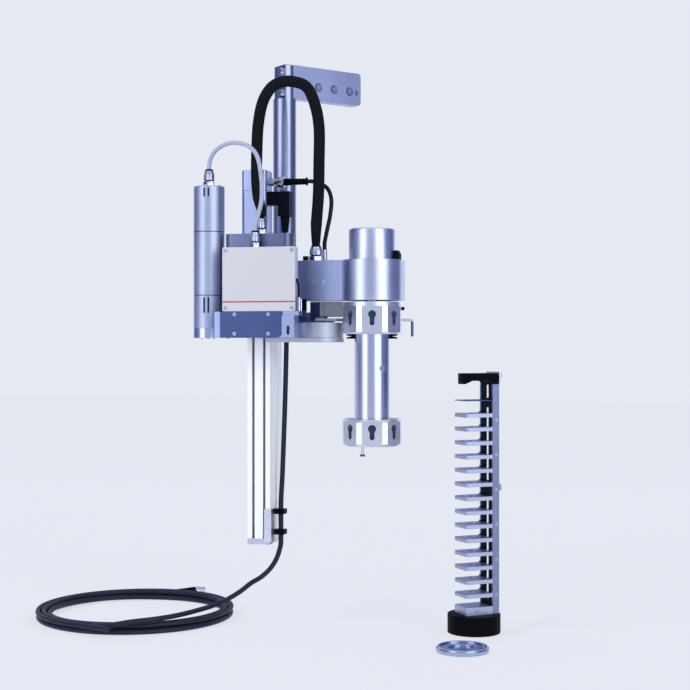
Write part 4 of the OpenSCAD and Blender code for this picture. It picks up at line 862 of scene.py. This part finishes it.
# %% Turret motor and tube
FINE = 192  # steps round
motor_profile = [
    [0, -198.5], [23.5, -198.5], [23.8, -198.2], [23.8, -168.1], [23.5, -167.4], [22.9, -166.8],
    [22.2, -166.5], [0, -166.5],
]
turret_motor = turned("turret_motor_can", motor_profile, FINE)
dress(turret_motor, can_blasted, "frame", "turret_motor", slot="aluminium")
tube_profile = [[0, -361.95], [18, -361.95], [18, -274.75], [0, -274.75]]
turret_tube = turned("turret_tube_turned", tube_profile, FINE)
dress(turret_tube, turned_bright, "turret", "turret_tube", slot="aluminium")
print("turret motor", len(turret_motor.data.polygons), "faces, tube", len(turret_tube.data.polygons))

# %% Sample ring
ring_profile = [
    [0, 0.02], [25.2, 0.02], [25.7, 0.5], [25.7, 3.5], [25.4, 3.9], [24.3, 3.9], [24.2, 4.1], [24.2, 5.1],
    [23.9, 5.4], [22.3, 5.4], [22, 5.1], [22, 3.9], [13.9, 3.9], [13.5, 3.5], [13.5, 2.2], [13.3, 2], [0, 2],
]
sample_ring = turned("sample_ring_turned", ring_profile, FINE, frame_at=upright(104, -69.4, FLOOR))
dress(sample_ring, turned_ring, "sample_ring", "sample_holder", slot="aluminium")
print("sample ring", len(sample_ring.data.polygons), "faces")

# %% [markdown]
# The lifting screw has a trapezoid thread, 10 mm across with a 10 mm lead and four
# starts: the radius depends on height and angle together, which is what makes a helix.

# %% Lifting screw
SCREW_X, SCREW_Y = -118.7, 8
CREST = 4.95  # radius over the thread
THREAD_DEPTH = 0.75
LEAD, STARTS = 10, 4
heights = np.linspace(-487.6, -171.4, 1600)[:, None]
turn = (np.arange(28) / 28 * 2 * np.pi)[None, :]
phase = (heights / LEAD * STARTS - turn / (2 * np.pi) * STARTS) % 1.0
groove = np.clip((np.abs(phase - 0.5) - 0.17) * 6, 0, 1)
screw_r = CREST - THREAD_DEPTH * groove
screw_x = SCREW_X + screw_r * np.cos(turn)
screw_y = SCREW_Y + screw_r * np.sin(turn)
screw_points = np.stack([screw_x, screw_y, heights + 0 * turn], -1)
lifting_screw = shade(grid_mesh("lifting_screw_thread", placed(screw_points)), 60)
dress(lifting_screw, steel, "lifting_screw", "leadscrew", slot="aluminium")
print("thread", len(lifting_screw.data.polygons), "faces")

# %% [markdown]
# A cable gland is a nickel-plated brass fitting: a hexagon nut on the housing, a round
# body, and a cap with flats that squeezes a seal onto the cable, ending in a dome. The
# radius of a hexagon at an angle a is its half width divided by cos of the angle to
# the nearest flat, and blending it with a circle rounds the corners as a lathe does.
# The profile is written in shares of the gland's widest diameter and height.

# %% Cable glands
GLAND_SHARES = [
    [0.44, 0], [0.5, 0.02], [0.5, 0.27], [0.46, 0.3], [0.36, 0.31], [0.36, 0.36], [0.43, 0.37], [0.455, 0.4],
    [0.455, 0.68], [0.44, 0.72], [0.40, 0.8], [0.36, 0.9], [0.32, 0.985], [0.3, 1.0],
]
HEXAGON_SHARE = 0.3  # heights at which the hexagon, the black neck and the cap end
NECK_SHARE = 0.37
CAP_SHARE = 0.92


def gland(name, x, y, low, d, h):
    """Hexagon, body, ribbed cap and dome, from the drawing's place, widest diameter and height."""
    rows = np.vstack([[0, 0], np.array(GLAND_SHARES) * [d, h], [0, h]])
    radius, height = rows[:, :1], rows[:, 1:]
    share = height / h
    a = (np.arange(144) / 144 * 2 * np.pi)[None, :]
    flat = math.cos(math.pi / 6) / np.cos((a + math.pi / 6) % (math.pi / 3) - math.pi / 6)
    r = radius * np.ones_like(a)
    r = np.where(share < HEXAGON_SHARE, np.minimum(r * flat, r * 0.985), r)
    ribs = 0.022 * d * (np.cos(10 * a) - 0.4) * (share > 0.38) * (share < 0.9)
    r = r + np.where(radius > 0, np.minimum(ribs, 0), 0)
    points = np.stack([x + r * np.cos(a), y + r * np.sin(a), low + height + 0 * a], -1)
    return shade(grid_mesh(name, placed(points)), 30)


glands = [
    ("hose_gland_arm", "arm_gland", "frame", -59.6, 0, -198.5, 15, 16),
    ("hose_gland_block", "rear_gland", "carriage", -111.3, -25, -172, 11, 18),
    ("control_gland_box", "front_gland", "carriage", -111.3, -48, -187, 11, 17),
    ("control_gland_motor", "swing_gland", "carriage", SWING_MOTOR_X, SWING_MOTOR_Y, -121.7, 12.4, 18),
]
for name, solid, body, x, y, low, d, h in glands:
    fitted = dress(gland(name, x, y, low, d, h), nickel, body, solid, slot="steel")
    neck, neck_end, seal = low + HEXAGON_SHARE * h, low + NECK_SHARE * h, low + CAP_SHARE * h
    paint(fitted, black_moulded, lambda px, py, z: between(z, neck, neck_end) | (z > seal))

# %% [markdown]
# The position sensor's plug is a knurled nut and a moulded boot with ribs that let it
# bend. Its axis lies along x.

# %% Sensor plug and probe connector
SENSOR_AT = on_axis_x(-112, 14, -113.8)
NUT = 14.5  # length of the nut, where the boot starts
BOOT_END = 39.5
BOOT_RIBS = 7
nut_h = np.linspace(0, NUT, 40)
nut_r = np.where(nut_h < 3.6, 4.4, np.where(nut_h < 7.2, 3.2, 5.45))
nut_profile = np.vstack([[0, 0], np.c_[nut_r, nut_h], [0, NUT]])
nut = turned("sensor_nut", nut_profile, 144,
             lambda h, a: 0.14 * np.cos(36 * a) * (h > 7.6) * (h < 14), SENSOR_AT)
dress(nut, nickel, "frame", "sensor_plug", slot="steel")
boot_h = np.linspace(NUT, BOOT_END, 100)
share = (boot_h - NUT) / (BOOT_END - NUT)
ribs = 0.4 * (np.sin(share * 2 * np.pi * BOOT_RIBS) > 0.5) * (share > 0.3)
boot_r = np.where(share > 0.94, 4.25, 3.8 - 0.6 * share - ribs)
boot_profile = np.vstack([[0, NUT], np.c_[boot_r, boot_h], [0, BOOT_END]])
sensor_boot = turned("sensor_boot", boot_profile, 64, frame_at=SENSOR_AT)
dress(sensor_boot, black_moulded, "frame", slot="black_plastic")
connector_profile = [
    [0, -252.1], [2.1, -252.1], [2.3, -251.8], [2.3, -245.5], [1.9, -245.2], [1.9, -244.6], [2.3, -244.3],
    [2.3, -238], [1.6, -237.5], [0, -237.5],
]
connector = turned("probe_connector", connector_profile, 64,
                   lambda h, a: 0.05 * np.cos(24 * a) * (h > -249.5) * (h < -246), upright(-65.5, -48, 0))
dress(connector, nickel, "carriage", slot="steel")
print("sensor nut, boot and probe connector made")

# %% [markdown]
# ## Studio
# The photograph has a pale, even background, faint shadows on the floor, and two tall
# soft boxes that draw bright bands on every upright cylinder. Between the bands the
# metal mirrors darker cards. A tall drum that only reflections see carries the boxes
# and cards as bands of colour, and the light itself comes from the world and two lamps.

# %% Floor
PAPER = "#e6e9f2"
PAPER_SHARE = 0.22  # the rest of the floor glows evenly, which keeps the shadows faint
floor = grid_mesh("floor", np.array([[[-6, -6, 0], [6, -6, 0]], [[-6, 6, 0], [6, 6, 0]]], float), caps=False)
floor.data.transform(Matrix.Translation((0, 0, FLOOR / 1000 - 0.0006)))
paper, tree, shader = finish("paper_sweep", PAPER, 0.0, 0.9)
depth = add(tree, "ShaderNodeSeparateXYZ", [(pattern_place(tree), "Vector")]).outputs["Y"]
level = add(tree, "ShaderNodeMapRange", [(depth, "Value")], From_Min=-0.7, From_Max=1.2,
            To_Min=1.01, To_Max=1.065)
glow = add(tree, "ShaderNodeEmission", [(level.outputs["Result"], "Strength")], Color=linear(PAPER))
both = [(glow.outputs[0], 1), (shader.outputs[0], 2)]
blend_paper = add(tree, "ShaderNodeMixShader", both, Fac=PAPER_SHARE)
tree.links.new(blend_paper.outputs[0], tree.nodes["Material Output"].inputs["Surface"])
floor.data.materials.append(paper)
floor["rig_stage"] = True
print("floor at", round(FLOOR / 1000, 3))

# %% World and lamps
world = bpy.data.worlds.new("studio")
bpy.context.scene.world = world
world.use_nodes = True
tree = world.node_tree
path = add(tree, "ShaderNodeLightPath")
rays = [(path.outputs["Is Camera Ray"], 0), (path.outputs["Is Glossy Ray"], 1)]
seen = add(tree, "ShaderNodeMath", rays, operation="MAXIMUM")
rays = [(seen.outputs[0], 0), (path.outputs["Is Transmission Ray"], 1)]
seen = add(tree, "ShaderNodeMath", rays, operation="MAXIMUM")
tone = add(tree, "ShaderNodeMix", [(seen.outputs[0], "Factor")], data_type="RGBA")
tone.inputs[COLOUR_A].default_value = (0.64, 0.65, 0.67, 1)
tone.inputs[COLOUR_B].default_value = linear(PAPER)
tree.links.new(tone.outputs[COLOUR_OUT], tree.nodes["Background"].inputs["Color"])


def soft_box(name, x, y, z, size, power):
    """Square area lamp at drawing millimetres, aimed at the machine's middle; reflections skip it."""
    lamp = bpy.data.objects.new(name, bpy.data.lights.new(name, "AREA"))
    lamp.data.shape, lamp.data.size, lamp.data.energy = "SQUARE", size, power
    lamp.location = placed([x, y, z])
    aim = Vector((0, 0, -0.28)) - lamp.location
    lamp.rotation_euler = aim.to_track_quat("-Z", "Y").to_euler()
    lamp.visible_glossy = False
    bpy.context.scene.collection.objects.link(lamp)


soft_box("key_left", -1300, -1300, 700, 1.1, 14)
soft_box("fill_right", 1500, -1100, 500, 1.1, 9)

# %% [markdown]
# The drum of cards: 360 columns, one a degree. The tone at an angle is a dark card plus
# mid cards plus two soft boxes in front and two weak ones behind, each with soft edges,
# measured from the camera's side. Towards its ends the drum gets dimmer.

# %% Cards and boxes for reflections
DRUM = 2.6  # metres
degrees = np.arange(360.0)
from_camera = (degrees - CAMERA_SIDE + 180) % 360 - 180


def band(centre, width, soft):
    """1 inside the band, 0 outside, with a soft edge of that many degrees."""
    off = np.abs((from_camera - centre + 180) % 360 - 180)
    return np.clip((width / 2 - off) / soft + 0.5, 0, 1)[:, None]


dark = np.array([0.10, 0.14, 0.32])
mid = np.array([0.38, 0.44, 0.60])
bright = np.array([2.1, 2.2, 2.45])
mid_cards = np.maximum(band(-10, 130, 24), 0.75 * band(180, 70, 30))
front_boxes = np.maximum(band(-47, 28, 9), band(40, 40, 9))
rear_boxes = np.maximum(0.5 * band(150, 16, 8), 0.45 * band(-142, 18, 8))
tones = dark + (mid - dark) * mid_cards
tones = tones + (bright - tones) * np.maximum(front_boxes, rear_boxes)
levels = np.array([-1.3, -0.9, 1.4, 2.4])[:, None]
dim = np.array([0.6, 1, 1, 0.7])[:, None, None]
where = np.radians(degrees)[None, :]
drum_x = DRUM * np.cos(where) + 0 * levels
drum_y = DRUM * np.sin(where) + 0 * levels
cards = grid_mesh("reflection_cards", np.stack([drum_x, drum_y, levels + 0 * where], -1) + AXIS, caps=False)
colours = np.ones((len(levels), len(degrees), 4))
colours[..., :3] = tones[None] * dim
attribute = cards.data.color_attributes.new("tone", "FLOAT_COLOR", "POINT")
attribute.data.foreach_set("color", colours.astype(np.float32).ravel())
card_paint, tree, shader = finish("card_paint", "#000000", 0.0, 1.0)
tint = add(tree, "ShaderNodeAttribute", attribute_name="tone")
glow = add(tree, "ShaderNodeEmission", [(tint.outputs["Color"], "Color")])
tree.links.new(glow.outputs[0], tree.nodes["Material Output"].inputs["Surface"])
cards.data.materials.append(card_paint)
for ray in ("camera", "diffuse", "transmission", "shadow", "volume_scatter"):
    setattr(cards, "visible_" + ray, False)
cards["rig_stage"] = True
print("cards from tone", round(float(tones.min()), 2), "to", round(float(tones.max()), 2))
bpy.context.scene.view_settings.view_transform = "Standard"

# %% Bounds and close
low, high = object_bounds()
{"cad": [list(map(float, c)) for c in cad_box], "visual": [list(map(float, low)), list(map(float, high))]}
print("dressed box", [round(float(v), 4) for v in low], [round(float(v), 4) for v in high])
